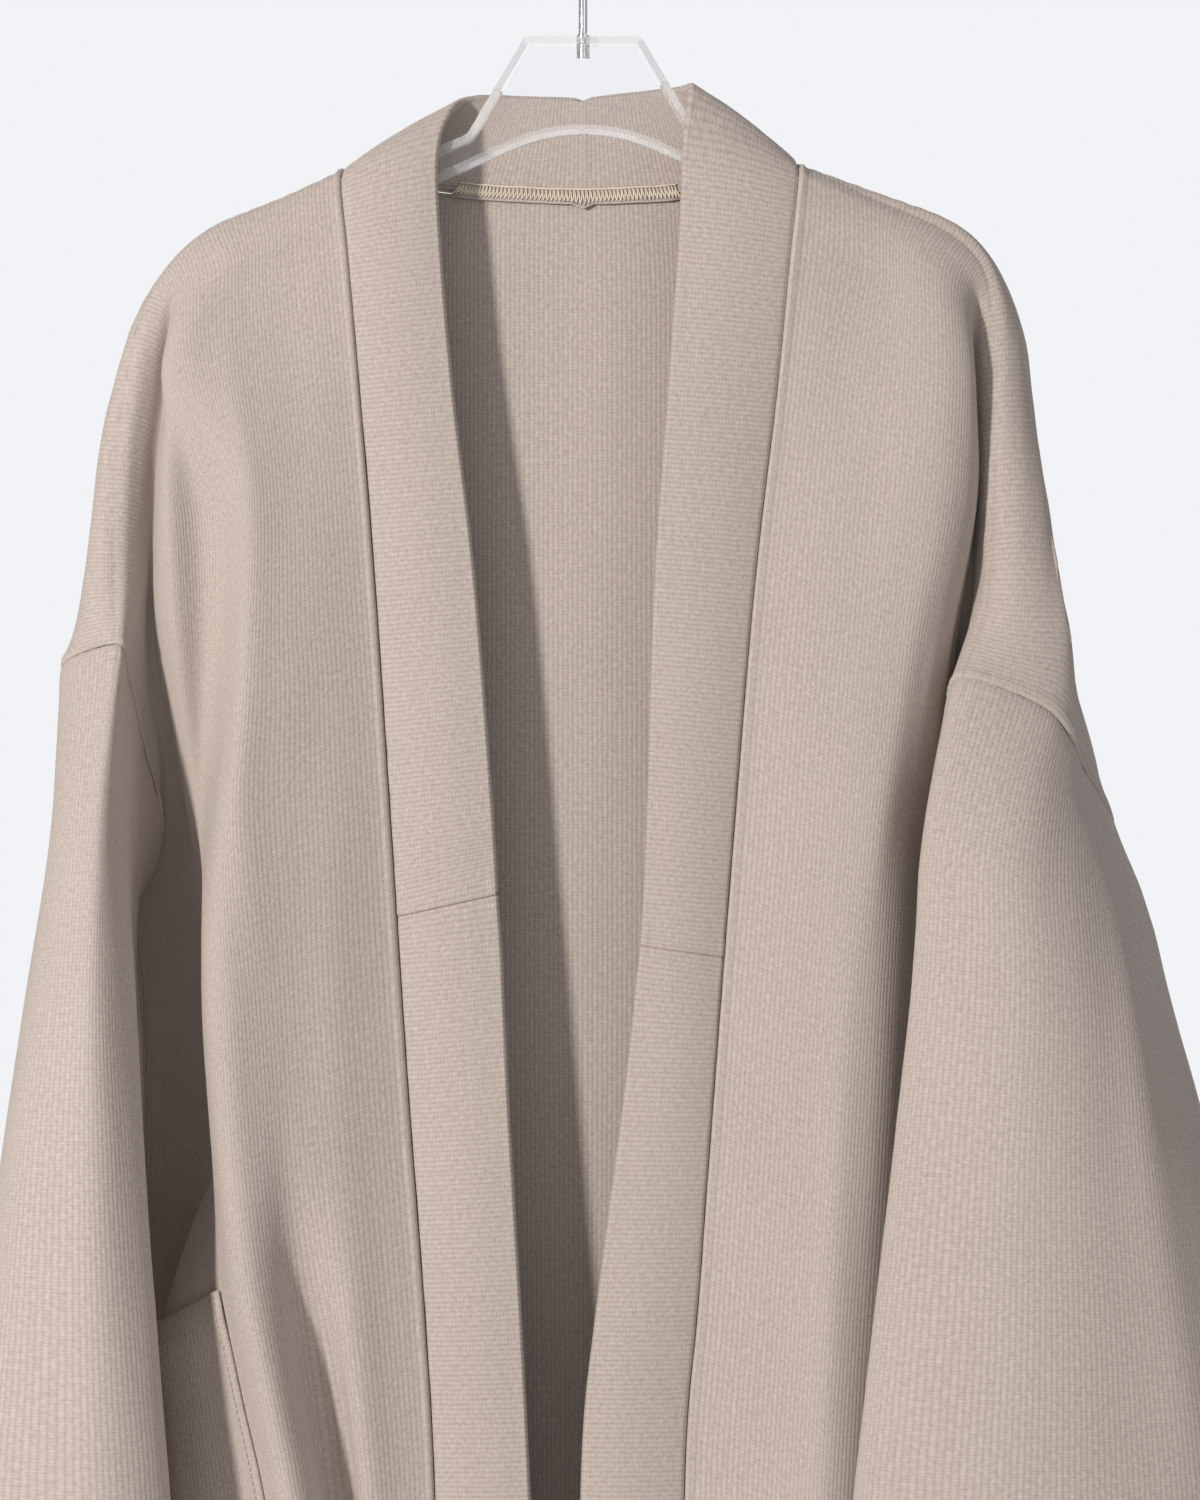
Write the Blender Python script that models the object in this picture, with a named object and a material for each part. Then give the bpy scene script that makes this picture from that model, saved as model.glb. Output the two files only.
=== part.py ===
"""A knit kimono coat hung open on a clear plastic hanger with a metal hook.

Frame: +Z up, -Y towards the viewer of the coat's front, +X to that viewer's right.
The origin is where the rail bears on the inside of the hook. "Right" and "left"
in names are the wearer's, so the wearer's right is at -X.
Sizes in the tables are millimetres; meshes are built in metres.
"""

import math

import bmesh
import bpy
import numpy as np
from mathutils import Matrix

MM = 0.001

SIDES = {"right": 1, "left": -1}

# Cloth
CLOTH = 1.8  # thickness of one layer of the double knit
BAND_CLOTH = 3.6  # the front band is folded double
SEAM_GAP = 0.3
MITRE_LEAST = 0.6  # keeps the wall's thickness in bounds where a seam is folded sharply
VALLEY_LEAST = 0.85  # how square the rims stay at an armhole seam that lies in a valley
SHOULDER = 315.0  # along the shoulder seam, from the band to the sleeve
ARM_REACH = 88.0  # how much of that the hanger carries
ARMHOLE = 250.0  # depth of the armhole, each of front and back
LENGTH = 980.0  # front length, shoulder to hem
SHOULDER_SLOPE = 0.12  # how much shorter the cloth is for each mm towards the side
ROLL = 6.0  # roundness of the cloth over the hanger's arm
TURN_MOST = {"right": 2.3, "left": 1.6}  # how far round that fold goes in front, in radians
TURN_RUN = {"right": 12.0, "left": 18.0}  # how far the cloth runs on from there, into a recess
BACK_MOST = 1.3  # how far round it goes at the back
BACK_TURN = 0.3  # how much of the turn the back of the fold makes
TURN_FULL = 40.0  # how far beyond the hanger's arm the fold stands quite free of it
REACH_SHARE, REACH_LEAST = 1.5, 21.0  # how far below the turn the cloth hangs as in the sections
NECK_FALL = 60.0  # how far below the neck seam the back does
JOIN_ROWS = 3  # rows over which the back is drawn to the pieces sewn to its top
NECK_HALF = 122.0  # from centre back to the shoulder seam

# Columns of a front panel, as distances from the band seam along the cloth
FRONT_COLUMNS = (0, 40, 75, 100, 120, 150, 190, 245, SHOULDER)
# Columns of half the back panel, as distances from its centre line
BACK_COLUMNS = (0, 55, 122, 167, 210, 255, 300, 360, 405, NECK_HALF + SHOULDER)

# The ridge is the line along which the cloth turns over the shoulder.
# seam is how far in front of the ridge the shoulder seam lies, turn the direction in
# which the cloth leaves the ridge forwards, in degrees from +X, and round the radius
# of the fold there.
RIDGE = {
    "right": (
        # along, x, y, z, seam, turn, round
        (0, -118, 0, -145.5, 0, -90, 9),
        (45, -160, 0, -164, 0, -90, 9),
        (88, -197, 0, -182, 0, -90, 9.5),
        (118, -216, 0, -206, 3, -88, 11),
        (156, -232, -2, -242, 10, -84, 11),
        (205, -241, -6, -290, 14, -80, 11.5),
        (260, -247, -9, -342, 19, -78, 13),
        (315, -252, -14, -389, 24, -74, 15),
    ),
    "left": (
        (0, 107, 0, -143, 2, -90, 9),
        (45, 150, 0, -160, 8, -90, 9),
        (88, 194, -1, -178, 11, -94, 10),
        (118, 211, -5, -202, 13, -112, 11),
        (156, 217, -10, -242, 14, -135, 12),
        (205, 218, -20, -295, 16, -150, 13),
        (260, 222, -31, -355, 25, -168, 18),
        (315, 226, -41, -415, 40, -176, 22),
    ),
}

# The armhole seam, from the underarm up the back, over and down the front.
# along is measured from the ridge, positive to the front.
ARMHOLE_SEAM = {
    "right": (
        # name, along, x, y, z
        ("under", -250, -228, 38, -514),
        ("pit", -212, -242, 36, -498),
        ("rear", -140, -256, 27, -448),
        ("outer", -70, -259, 6, -411),
        ("ridge", 0, -252, -14, -389),
        ("fold", 24, -231, -28, -384),
        ("brow", 62, -226, -14, -399),
        ("inner", 115, -220, 4, -433),
        ("heel", 180, -212, 18, -475),
        ("gore", 220, -217, 30, -499),
        ("under", 250, -228, 38, -514),
    ),
    "left": (
        ("under", -250, 246, 31, -515),
        ("pit", -205, 260, 20, -502),
        ("rear", -140, 267, 2, -480),
        ("outer", -62, 250, -25, -449),
        ("ridge", 0, 226, -41, -415),
        ("fold", 40, 187, -40, -401),
        ("brow", 76, 180, -24, -412),
        ("inner", 122, 186, -5, -440),
        ("heel", 184, 202, 9, -477),
        ("gore", 222, 226, 23, -501),
        ("under", 250, 246, 31, -515),
    ),
}

SIDE_SEAM = {
    "right": (
        # z, x, y
        (-514, -228, 38),
        (-561, -224, 42),
        (-690, -224, 51),
        (-811, -226, 58),
        (-1180, -236, 72),
    ),
    "left": (
        (-515, 246, 31),
        (-561, 249, 40),
        (-690, 254, 46),
        (-811, 258, 52),
        (-1180, 268, 68),
    ),
}

# Level sections of the fronts: x and y of each inner column, from the band outwards.
FRONT_SECTIONS = {
    "right": (
        # z, plane, brow, crest, turn, hollow, rise, tuck
        (-200, (-153, -17), (-178, -19), (-198, -18), (-210, -14), (-216, -10), (-222, -10), (-230, -10)),
        (-235, (-150, -20), (-177, -25), (-197, -25), (-209, -22), (-215, -11), (-217, 0), (-221, 3)),
        (-311, (-142, -28), (-166, -35), (-177, -26), (-189, -19), (-206, -24), (-214, -8), (-220, 2)),
        (-381, (-140, -32), (-167, -39), (-176, -25), (-186, -14), (-202, -19), (-212, -6), (-218, 4)),
        (-420, (-138, -33), (-169, -42), (-178, -27), (-186, -11), (-199, -11), (-206, -1), (-210, 12)),
        (-456, (-138, -34), (-172, -45), (-181, -31), (-186, -11), (-195, -4), (-200, 4), (-203, 20)),
        (-500, (-136, -36), (-170, -48), (-184, -42), (-188, -22), (-189, -4), (-192, 11), (-202, 25)),
        (-561, (-134, -37), (-164, -48), (-181, -50), (-188, -34), (-184, -10), (-180, 12), (-198, 26)),
        (-640, (-128, -38), (-158, -50), (-176, -51), (-183, -34), (-182, -10), (-180, 10), (-193, 27)),
        (-700, (-122, -38), (-152, -50), (-168, -52), (-177, -40), (-186, -26), (-206, -8), (-190, 22)),
        (-811, (-110, -35), (-132, -50), (-147, -51), (-153, -42), (-170, -29), (-202, -13), (-181, 22)),
        (-1180, (-102, -40), (-130, -54), (-151, -56), (-160, -44), (-174, -28), (-206, -12), (-186, 26)),
    ),
    "left": (
        (-200, (145, -18), (168, -21), (186, -20), (196, -15), (200, -10), (203, -8), (207, -8)),
        (-235, (139, -21), (168, -26), (188, -26), (195, -20), (194, -8), (195, -2), (199, 0)),
        (-311, (130, -26), (163, -32), (184, -30), (194, -21), (196, -8), (195, 0), (198, 2)),
        (-381, (124, -29), (154, -33), (171, -29), (181, -19), (185, -6), (188, 3), (192, 5)),
        (-420, (120, -30), (150, -34), (166, -27), (176, -14), (182, 0), (188, 11), (195, 12)),
        (-456, (117, -31), (146, -35), (161, -25), (171, -10), (180, 5), (188, 17), (195, 18)),
        (-500, (114, -32), (142, -36), (158, -27), (169, -10), (180, 8), (191, 21), (208, 25)),
        (-561, (108, -33), (137, -38), (154, -30), (166, -13), (175, 5), (194, 13), (214, 23)),
        (-640, (103, -34), (132, -39), (150, -32), (163, -14), (172, 6), (195, 8), (213, 24)),
        (-700, (99, -35), (128, -41), (146, -34), (160, -17), (169, 7), (196, 3), (214, 26)),
        (-811, (92, -37), (121, -43), (141, -37), (157, -20), (166, 7), (196, 1), (213, 26)),
        (-1180, (88, -41), (118, -48), (141, -43), (160, -24), (169, 5), (202, 2), (219, 34)),
    ),
}

# Level sections of the back: x and y of each inner column, from the centre outwards.
BACK_SECTIONS = {
    "right": (
        # z, mid, neck, blade, tip, drop, outer, tuck, edge
        (-200, (-55, 13), (-112, 13), (-156, 14), (-196, 11), (-217, 4), (-224, 4), (-230, 2), (-234, 2)),
        (-235, (-55, 13), (-112, 14), (-156, 17), (-197, 16), (-222, 12), (-231, 8), (-236, 4), (-238, 2)),
        (-311, (-55, 14), (-111, 16), (-155, 22), (-198, 28), (-228, 28), (-239, 18), (-243, 8), (-246, 4)),
        (-381, (-55, 16), (-110, 20), (-153, 28), (-194, 36), (-224, 40), (-243, 34), (-250, 20), (-253, 6)),
        (-420, (-55, 17), (-109, 22), (-150, 31), (-189, 39), (-218, 44), (-240, 43), (-251, 35), (-257, 25)),
        (-456, (-55, 18), (-108, 25), (-148, 33), (-184, 41), (-212, 47), (-234, 50), (-248, 48), (-253, 41)),
        (-500, (-55, 19), (-107, 27), (-145, 35), (-177, 36), (-204, 45), (-228, 54), (-243, 55), (-247, 47)),
        (-561, (-55, 21), (-106, 34), (-142, 40), (-167, 33), (-189, 44), (-212, 60), (-230, 61), (-234, 52)),
        (-690, (-53, 24), (-102, 44), (-137, 42), (-157, 24), (-178, 50), (-203, 74), (-227, 74), (-234, 62)),
        (-811, (-51, 28), (-98, 52), (-132, 48), (-152, 24), (-173, 53), (-198, 82), (-226, 85), (-236, 71)),
        (-1180, (-50, 40), (-96, 64), (-130, 60), (-152, 34), (-175, 66), (-204, 98), (-235, 100), (-246, 86)),
    ),
    "left": (
        (-200, (55, 13), (106, 13), (148, 14), (190, 10), (209, 2), (214, -2), (217, -6), (219, -8)),
        (-235, (55, 13), (106, 14), (149, 17), (190, 16), (212, 9), (218, 2), (219, -4), (220, -10)),
        (-311, (55, 14), (106, 16), (150, 22), (190, 26), (213, 21), (221, 8), (223, -8), (224, -18)),
        (-343, (55, 15), (106, 18), (150, 25), (190, 30), (216, 27), (230, 12), (230, -6), (229, -20)),
        (-393, (55, 16), (105, 21), (150, 28), (188, 34), (218, 36), (240, 22), (245, 2), (241, -18)),
        (-431, (55, 18), (104, 24), (149, 31), (187, 38), (219, 40), (246, 30), (256, 12), (255, -3)),
        (-464, (55, 18), (104, 25), (148, 33), (186, 41), (219, 44), (247, 41), (261, 28), (264, 12)),
        (-502, (55, 19), (103, 28), (146, 34), (181, 35), (211, 43), (238, 50), (257, 48), (264, 36)),
        (-561, (55, 21), (103, 34), (145, 39), (175, 31), (204, 46), (231, 61), (253, 61), (260, 50)),
        (-690, (53, 24), (99, 44), (139, 44), (167, 27), (198, 50), (229, 74), (255, 73), (263, 58)),
        (-811, (51, 28), (96, 50), (134, 48), (164, 25), (194, 54), (227, 82), (257, 81), (268, 65)),
        (-1180, (50, 40), (94, 62), (132, 60), (164, 36), (198, 68), (234, 98), (267, 97), (279, 81)),
    ),
}

# The back's centre line
BACK_MIDDLE = (
    # z, y
    (-161, 14.5),
    (-300, 13),
    (-561, 18),
    (-811, 25),
    (-1180, 36),
)

# The front band: the line where it is sewn on and its free edge, from centre back
# round the neck and down the front to the hem.
BAND = {
    "right": (
        # seam x, y, z, edge x, y, z
        (0, 14.5, -161, 0, 18, -110),
        (-52, 14, -158.5, -36, 18, -109),
        (-92, 14, -152.5, -52, 15, -107.5),
        (-108, 10, -148, -61, 9, -109),
        (-118, 0, -145.5, -67, -3, -116),
        (-120.5, -12, -154, -73, -14, -138),
        (-117, -18, -187, -72, -19, -180),
        (-110.5, -18, -262, -65.5, -22, -258),
        (-102.5, -20, -362, -54, -24, -358),
        (-92.5, -21, -514, -43, -25, -507),
        (-86, -22, -612, -38, -26, -608),
        (-78.5, -23, -712, -32, -27, -710),
        (-73, -24, -812, -27, -28, -811),
        (-62, -27, -1127, -13, -31, -1127),
    ),
    "left": (
        (0, 14.5, -161, 0, 18, -110),
        (50, 14, -158.5, 36, 18, -106),
        (84, 14, -150.5, 47, 14, -104),
        (98, 10.5, -146, 53, 9, -103),
        (107, 0, -143, 55, -3, -104),
        (107.5, -12.5, -151, 51, -16, -136),
        (103.5, -18, -187, 49, -20, -180),
        (96, -19, -262, 43.5, -23, -258),
        (84.5, -21, -362, 36.5, -25, -358),
        (72, -22, -514, 31, -26, -510),
        (64.5, -23, -612, 21, -27, -611),
        (57, -24, -712, 8, -28, -712),
        (50, -25, -812, 0, -29, -812),
        (46, -28, -1127, -3, -32, -1127),
    ),
}
NECK_ROWS = 4  # the row of the table at the shoulder seam
NECK_LENGTHS = (0, 52, 93, 110, NECK_HALF)  # along the seam to each of those rows
BAND_BULGE = 3.0
# Where the lower band is sewn to the upper one: heights at the seam and at the free edge
BAND_JOIN = {"right": (-519, -508), "left": (-539, -533)}

# Level sections of the sleeves, through the same eight stations as the armhole seam.
# slope is the share of the armhole's own slant that the level keeps.
SLEEVE_STATIONS = ("under", "rear", "outer", "ridge", "fold", "brow", "inner", "heel")
SLEEVE_SECTIONS = {
    "right": (
        # z, slope, under, rear, outer, ridge, fold,
        # brow, inner, heel
        (-490, 0.6, (-245, 33), (-261, 21), (-263, -14), (-253, -46), (-237, -56),
         (-227, -42), (-225, -10), (-224, 17)),
        (-560, 0.3, (-249, 39), (-269, 27), (-274, -20), (-260, -62), (-240, -76),
         (-221, -58), (-226, -16), (-225, 18)),
        (-640, 0.1, (-246, 46), (-276, 35), (-286, -22), (-269, -72), (-240, -86),
         (-214, -66), (-232, -20), (-226, 16)),
        (-740, 0.0, (-252, 51), (-287, 39), (-298, -24), (-276, -80), (-238, -92),
         (-205, -70), (-238, -22), (-226, 17)),
        (-811, 0.0, (-256, 53), (-293, 41), (-306, -24), (-281, -84), (-236, -95),
         (-199, -72), (-240, -24), (-227, 17)),
        (-872, 0.0, (-257, 54), (-296, 42), (-310, -24), (-283, -86), (-235, -96),
         (-197, -72), (-241, -24), (-228, 17)),
    ),
    "left": (
        (-490, 0.6, (261, 15), (279, -8), (254, -48), (208, -66), (171, -53),
         (172, -38), (188, -18), (214, -4)),
        (-560, 0.3, (273, 4), (290, -26), (259, -70), (205, -80), (163, -58),
         (167, -43), (188, -22), (228, -10)),
        (-640, 0.1, (286, -11), (307, -42), (262, -80), (200, -84), (153, -60),
         (159, -45), (186, -26), (234, -17)),
        (-740, 0.0, (306, -21), (327, -50), (268, -84), (196, -86), (142, -60),
         (149, -46), (183, -28), (242, -21)),
        (-811, 0.0, (321, -25), (341, -54), (272, -86), (192, -86), (135, -60),
         (143, -47), (179, -30), (248, -23)),
        (-885, 0.0, (331, -27), (351, -56), (276, -86), (190, -86), (131, -60),
         (140, -48), (177, -30), (252, -25)),
    ),
}

# Folds pressed into the fronts: distance from the band at the fold's top and foot, distances
# down the cloth where it starts, is full and starts to fade, its width and its push.
FOLD_FADE = 80.0
FRONT_FOLDS = {
    "right": (
        # name, near, far, top, full, foot, width, push x, push y
        ("valley", 62, 52, 470, 600, 1000, 13, 3, 20),
    ),
    "left": (),
}

# Patch pockets, in the same cloth distances as the front's columns and rows
POCKET_NEAR, POCKET_FAR = 125.0, 280.0
POCKET_TOP, POCKET_FOOT = 527.0, 727.0
POCKET_DROP, POCKET_SLANT = 14.0, 70.0  # its mouth drops outwards, over that distance
POCKET_GAPE = 3.0  # how far its opening stands off

# Steps of the grids: start, end and number of steps
NECK_STEPS = ((0, 93, 4), (93, NECK_HALF, 3))
SHOULDER_STEPS = ((0, POCKET_NEAR, 7), (POCKET_NEAR, POCKET_FAR, 7), (POCKET_FAR, SHOULDER, 1))
# Rows from the shoulder seam to the underarm, as shares of that distance
ARMHOLE_SHARES = (0, 0.025, 0.055, 0.1, 0.16, 0.24, 0.33, 0.43, 0.53, 0.64, 0.76, 0.88, 1)
ARMHOLE_ROWS = len(ARMHOLE_SHARES) - 1
CHEST_ROWS, POCKET_ROWS, HEM_ROWS = 6, 4, 4
SLEEVE_ROWS = 14
BAND_COLUMNS = 3

# The hanger: outline of the flat plate from the neck's middle to the arm's tip and back,
# one half as seen from the front. round is the radius of the corner.
PLATE = 10.0
PLATE_HALF = (
    # x, z, round
    (29, -80, 5),
    (58, -129, 8),
    (70, -134, 20),
    (116, -156, 30),
    (192, -190, 7.4),
    (186, -205.4, 7),
)
PLATE_ARCH = (-120.4, 86)  # where the lower edges of the arms would meet, and its rounding
PLATE_EDGE = 1.2

# The hook: centre of the bend below the rail, rod and ferrule
HOOK_INNER = 20.0
ROD = 2.2
FERRULE = 3.0
FERRULE_TOP, FERRULE_FOOT = -79.0, -91.0
HOOK_START, HOOK_END = -52.0, 205.0  # degrees round the bend, from +X
HOOK_STEM = -58.0  # where the rod leaves the upright line
HOOK_EASE = 9.0
ARC_STEP = 7.0  # length of the pieces of a rounded corner


def curve(stations, values, at):
    """A smooth line through values at increasing stations, read at other places."""
    stations = np.asarray(stations, float)
    values = np.asarray(values, float)
    at = np.clip(np.asarray(at, float), stations[0], stations[-1])
    if values.ndim == 1:
        return curve(stations, values[:, None], at)[..., 0]
    step = np.diff(stations)
    slope = np.diff(values, axis=0) / step[:, None]
    tangent = np.empty_like(values)
    tangent[0] = slope[0]
    tangent[-1] = slope[-1]
    tangent[1:-1] = (slope[:-1] * step[1:, None] + slope[1:] * step[:-1, None]) / (
        step[1:] + step[:-1]
    )[:, None]
    i = np.clip(np.searchsorted(stations, at, side="right") - 1, 0, len(step) - 1)
    u = ((at - stations[i]) / step[i])[..., None]
    h = step[i][..., None]
    return (
        values[i] * (2 * u**3 - 3 * u**2 + 1)
        + values[i + 1] * (3 * u**2 - 2 * u**3)
        + h * tangent[i] * (u**3 - 2 * u**2 + u)
        + h * tangent[i + 1] * (u**3 - u**2)
    )


def ease(share):
    share = np.clip(share, 0, 1)
    return share * share * (3 - 2 * share)


def section_point(sections, column, z):
    """x and y of one column of a table of level sections, at height z."""
    levels = [-row[0] for row in sections]
    points = [row[1 + column] for row in sections]
    return curve(levels, points, -z)


def spaced(steps):
    """Places along a line, from rows of start, end and number of steps."""
    places = [float(steps[0][0])]
    for start, end, count in steps:
        places += [start + (end - start) * (k + 1) / count for k in range(count)]
    return np.array(places)


def row_places(start, foot, along=0.0):
    """Cloth distances of a panel's rows, from the shoulder seam to the hem."""
    mouth = POCKET_TOP + POCKET_DROP * ease((along - POCKET_NEAR) / POCKET_SLANT)
    below = spaced(
        (
            (ARMHOLE, mouth, CHEST_ROWS),
            (mouth, POCKET_FOOT, POCKET_ROWS),
            (POCKET_FOOT, foot, HEM_ROWS),
        )
    )
    above = start + (ARMHOLE - start) * np.array(ARMHOLE_SHARES)
    return np.concatenate([above, below[1:]])


def over_shoulder(side, along, across, hang_front, hang_back):
    """The cloth at a distance along the shoulder and across it from the ridge.

    across is positive down the front and negative down the back. The cloth beyond
    the hanger hangs as far below the hanger's end as its own length lets it.
    """
    table = RIDGE[side]
    row = curve([r[0] for r in table], [r[1:] for r in table], along)
    ridge, turn, radius = row[:3], math.radians(row[4]), row[5]
    past_arm = max(along - ARM_REACH, 0)
    beyond = math.hypot(past_arm, ROLL)
    z = ridge[2] + beyond - math.hypot(beyond, across)
    share = ease(abs(across) / (REACH_SHARE * beyond + REACH_LEAST))
    bend = np.clip(across / radius, -BACK_MOST, TURN_MOST[side])
    ahead = np.array((math.cos(turn), math.sin(turn)))
    inward = SIDES[side] * np.array((-math.sin(turn), math.cos(turn)))
    inward *= min(past_arm / TURN_FULL, 1) * (1 if across > 0 else BACK_TURN)
    leave = radius * (math.sin(bend) * ahead + (1 - math.cos(bend)) * inward)
    rest = max(across - TURN_MOST[side] * radius, 0)
    run = TURN_RUN[side] * (1 - math.exp(-rest / TURN_RUN[side])) * min(past_arm / TURN_FULL, 1)
    leave += run * (math.cos(bend) * ahead + math.sin(bend) * inward)
    hang = (hang_front if across > 0 else hang_back)(z) - ridge[:2]
    x, y = ridge[:2] + leave * (1 - share) + hang * share
    return np.array((x, y, z))


def seam_offset(side, along):
    """How far in front of the ridge the shoulder seam lies."""
    table = RIDGE[side]
    return float(curve([r[0] for r in table], [r[4] for r in table], along))


def side_edge(side, across):
    """The armhole seam down to the underarm, then the side seam."""
    loop = ARMHOLE_SEAM[side]
    if abs(across) <= ARMHOLE:
        return curve([r[1] for r in loop], [r[2:] for r in loop], across)
    beyond = SHOULDER - ARM_REACH
    under = loop[0][4]
    z = under - math.hypot(beyond, across) + math.hypot(beyond, ARMHOLE)
    table = SIDE_SEAM[side]
    x, y = curve([-r[0] for r in table], [r[1:] for r in table], -z)
    return np.array((x, y, z))


def band_lines(side, at):
    """The band's seam and its free edge, at places given in rows of its table."""
    table = np.array(BAND[side], float)
    both = curve(np.arange(len(table)), table, at)
    return both[..., :3], both[..., 3:]


def band_place(side, z):
    """The place in the band's table where its seam passes a height, on the front."""
    fine = np.linspace(NECK_ROWS, len(BAND[side]) - 1, 400)
    heights = band_lines(side, fine)[0][:, 2]
    return np.interp(-z, -heights, fine)


def neck_place(reach):
    """The place in the band's table, by distance from centre back."""
    return float(curve(NECK_LENGTHS, range(NECK_ROWS + 1), reach))


def front_edge_height(side, across):
    return BAND[side][NECK_ROWS][2] + ROLL - math.hypot(ROLL, max(across, 0))


def fold_push(side, along, across):
    """How far the folds of the table move a point of the front, in x and y."""
    push = np.zeros(2)
    for name, near, far, top, full, foot, width, push_x, push_y in FRONT_FOLDS[side]:
        down = np.clip((across - top) / (foot - top), 0, 1)
        centre = near + (far - near) * down
        depth = ease((across - top) / (full - top)) * (1 - ease((across - foot) / FOLD_FADE))
        shape = math.exp(-(((along - centre) / width) ** 2))
        push += np.array((push_x, push_y)) * depth * shape
    return push


def front_point(side, along, across):
    """A point of a front panel, from cloth distances."""
    place = band_place(side, front_edge_height(side, across))
    row = [band_lines(side, place)[0]]
    for column, reach in enumerate(FRONT_COLUMNS[1:-1]):

        def hang(z, column=column):
            return section_point(FRONT_SECTIONS[side], column, z)

        row.append(over_shoulder(side, reach, across, hang, hang))
    row.append(side_edge(side, across))
    point = curve(FRONT_COLUMNS, row, along)
    point[:2] += fold_push(side, along, across)
    return point


def front_grid(side):
    """Points of a front panel: rows from the shoulder seam down, columns from the band."""
    columns = []
    for along in spaced(SHOULDER_STEPS):
        places = row_places(seam_offset(side, along), LENGTH - SHOULDER_SLOPE * along, along)
        columns.append([front_point(side, along, across) for across in places])
    return np.array(columns).transpose(1, 0, 2)


def back_point(side, reach, row):
    """A point of half the back, by distance from its centre line and number of row."""
    points = []
    for k, column in enumerate(BACK_COLUMNS):
        along = max(column - NECK_HALF, 0)
        foot = LENGTH - SHOULDER_SLOPE * along
        down = row_places(-seam_offset(side, along), foot, along)[row]

        def hang(z, k=k):
            if k == 0:
                depth = curve([-r[0] for r in BACK_MIDDLE], [r[1] for r in BACK_MIDDLE], -z)
                return np.array((0.0, depth))
            return section_point(BACK_SECTIONS[side], k - 1, z)

        if column == BACK_COLUMNS[-1]:
            points.append(side_edge(side, -down))
        elif column < NECK_HALF:
            down = max(down, 0)
            top = band_lines(side, neck_place(column))[0]
            z = top[2] + ROLL - math.hypot(ROLL, down)
            share = ease(down / NECK_FALL)
            x, y = top[:2] + (hang(z) - top[:2]) * share
            points.append(np.array((x, y, z)))
        else:
            points.append(over_shoulder(side, along, -down, hang, hang))
    return curve(BACK_COLUMNS, points, reach)


def back_grid(fronts):
    """Points of the whole back, from the wearer's right side seam to the left."""
    shoulder = NECK_HALF + spaced(SHOULDER_STEPS)
    reaches = np.concatenate([spaced(NECK_STEPS)[:-1], shoulder])
    rows = fronts["right"].shape[0]
    halves = {}
    for side in ("right", "left"):
        half = np.array([[back_point(side, r, i) for r in reaches] for i in range(rows)])
        # The top edge is drawn to the band's neck seam and to the front's shoulder seam.
        neck = [band_lines(side, neck_place(r))[0] for r in spaced(NECK_STEPS)[:-1]]
        missing = np.concatenate([neck, fronts[side][0]]) - half[0]
        for i in range(JOIN_ROWS):
            half[i] += missing * (1 - i / JOIN_ROWS)
        halves[side] = half
    middle = (halves["right"][:, :1] + halves["left"][:, :1]) / 2
    return np.concatenate([halves["right"][:, :0:-1], middle, halves["left"][:, 1:]], axis=1)


def armhole_loop(side, front, back):
    """The armhole's points, from the underarm up the back, over and down the front."""
    rear = back[ARMHOLE_ROWS::-1, 0 if side == "right" else -1]
    return np.concatenate([rear, front[1:ARMHOLE_ROWS, -1]])


def station_at(side, k):
    """The distance round the armhole of one of its points."""
    start = seam_offset(side, SHOULDER)
    if k <= ARMHOLE_ROWS:
        return start - (ARMHOLE + start) * ARMHOLE_SHARES[ARMHOLE_ROWS - k]
    return start + (ARMHOLE - start) * ARMHOLE_SHARES[k - ARMHOLE_ROWS]


def sleeve_grid(side, loop):
    """Points of a sleeve: rings from the armhole seam down to the cuff."""
    around = len(loop)
    middle = loop[:, 2].mean()
    stations_at = {row[0]: row[1] for row in reversed(ARMHOLE_SEAM[side])}
    places = np.array([stations_at[name] for name in SLEEVE_STATIONS], float)
    own = np.array([station_at(side, k) for k in range(around)])
    levels, depth = [loop], [0.0]
    for z, slope, *stations in SLEEVE_SECTIONS[side]:
        wrapped = np.concatenate([places - 2 * ARMHOLE, places, places + 2 * ARMHOLE])
        ring = curve(wrapped, np.array(stations * 3, float), own)
        height = z + slope * (loop[:, 2] - middle)
        levels.append(np.column_stack([ring, height]))
        depth.append(middle - z)
    levels = np.array(levels).reshape(len(levels), -1)
    rows = [curve(depth, levels, depth[-1] * i / SLEEVE_ROWS) for i in range(SLEEVE_ROWS + 1)]
    return np.array(rows).reshape(SLEEVE_ROWS + 1, around, 3)


def band_outline(side, fronts, back):
    """The seam and the free edge of half the band, round the neck and down a front."""
    neck = len(spaced(NECK_STEPS)) - 1
    centre = back.shape[1] // 2
    step = -1 if side == "right" else 1
    seam = [back[0, centre + step * k] for k in range(neck)]
    at = [neck_place(r) for r in spaced(NECK_STEPS)[:-1]]
    for point in fronts[side][:, 0]:
        seam.append(point)
        at.append(band_place(side, point[2]))
    edge = band_lines(side, np.array(at))[1]
    return np.array(seam), edge


def split_band(side, seam, edge):
    """Puts a row in at the seam between upper and lower band; returns its number."""
    seam_z, edge_z = BAND_JOIN[side]
    row = int(np.argmax(seam[:, 2] < seam_z))
    lines = []
    for line, z in ((seam, seam_z), (edge, edge_z)):
        share = (z - line[row - 1, 2]) / (line[row, 2] - line[row - 1, 2])
        point = line[row - 1] + (line[row] - line[row - 1]) * share
        lines.append(np.insert(line, row, point, axis=0))
    return lines[0], lines[1], row


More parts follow.
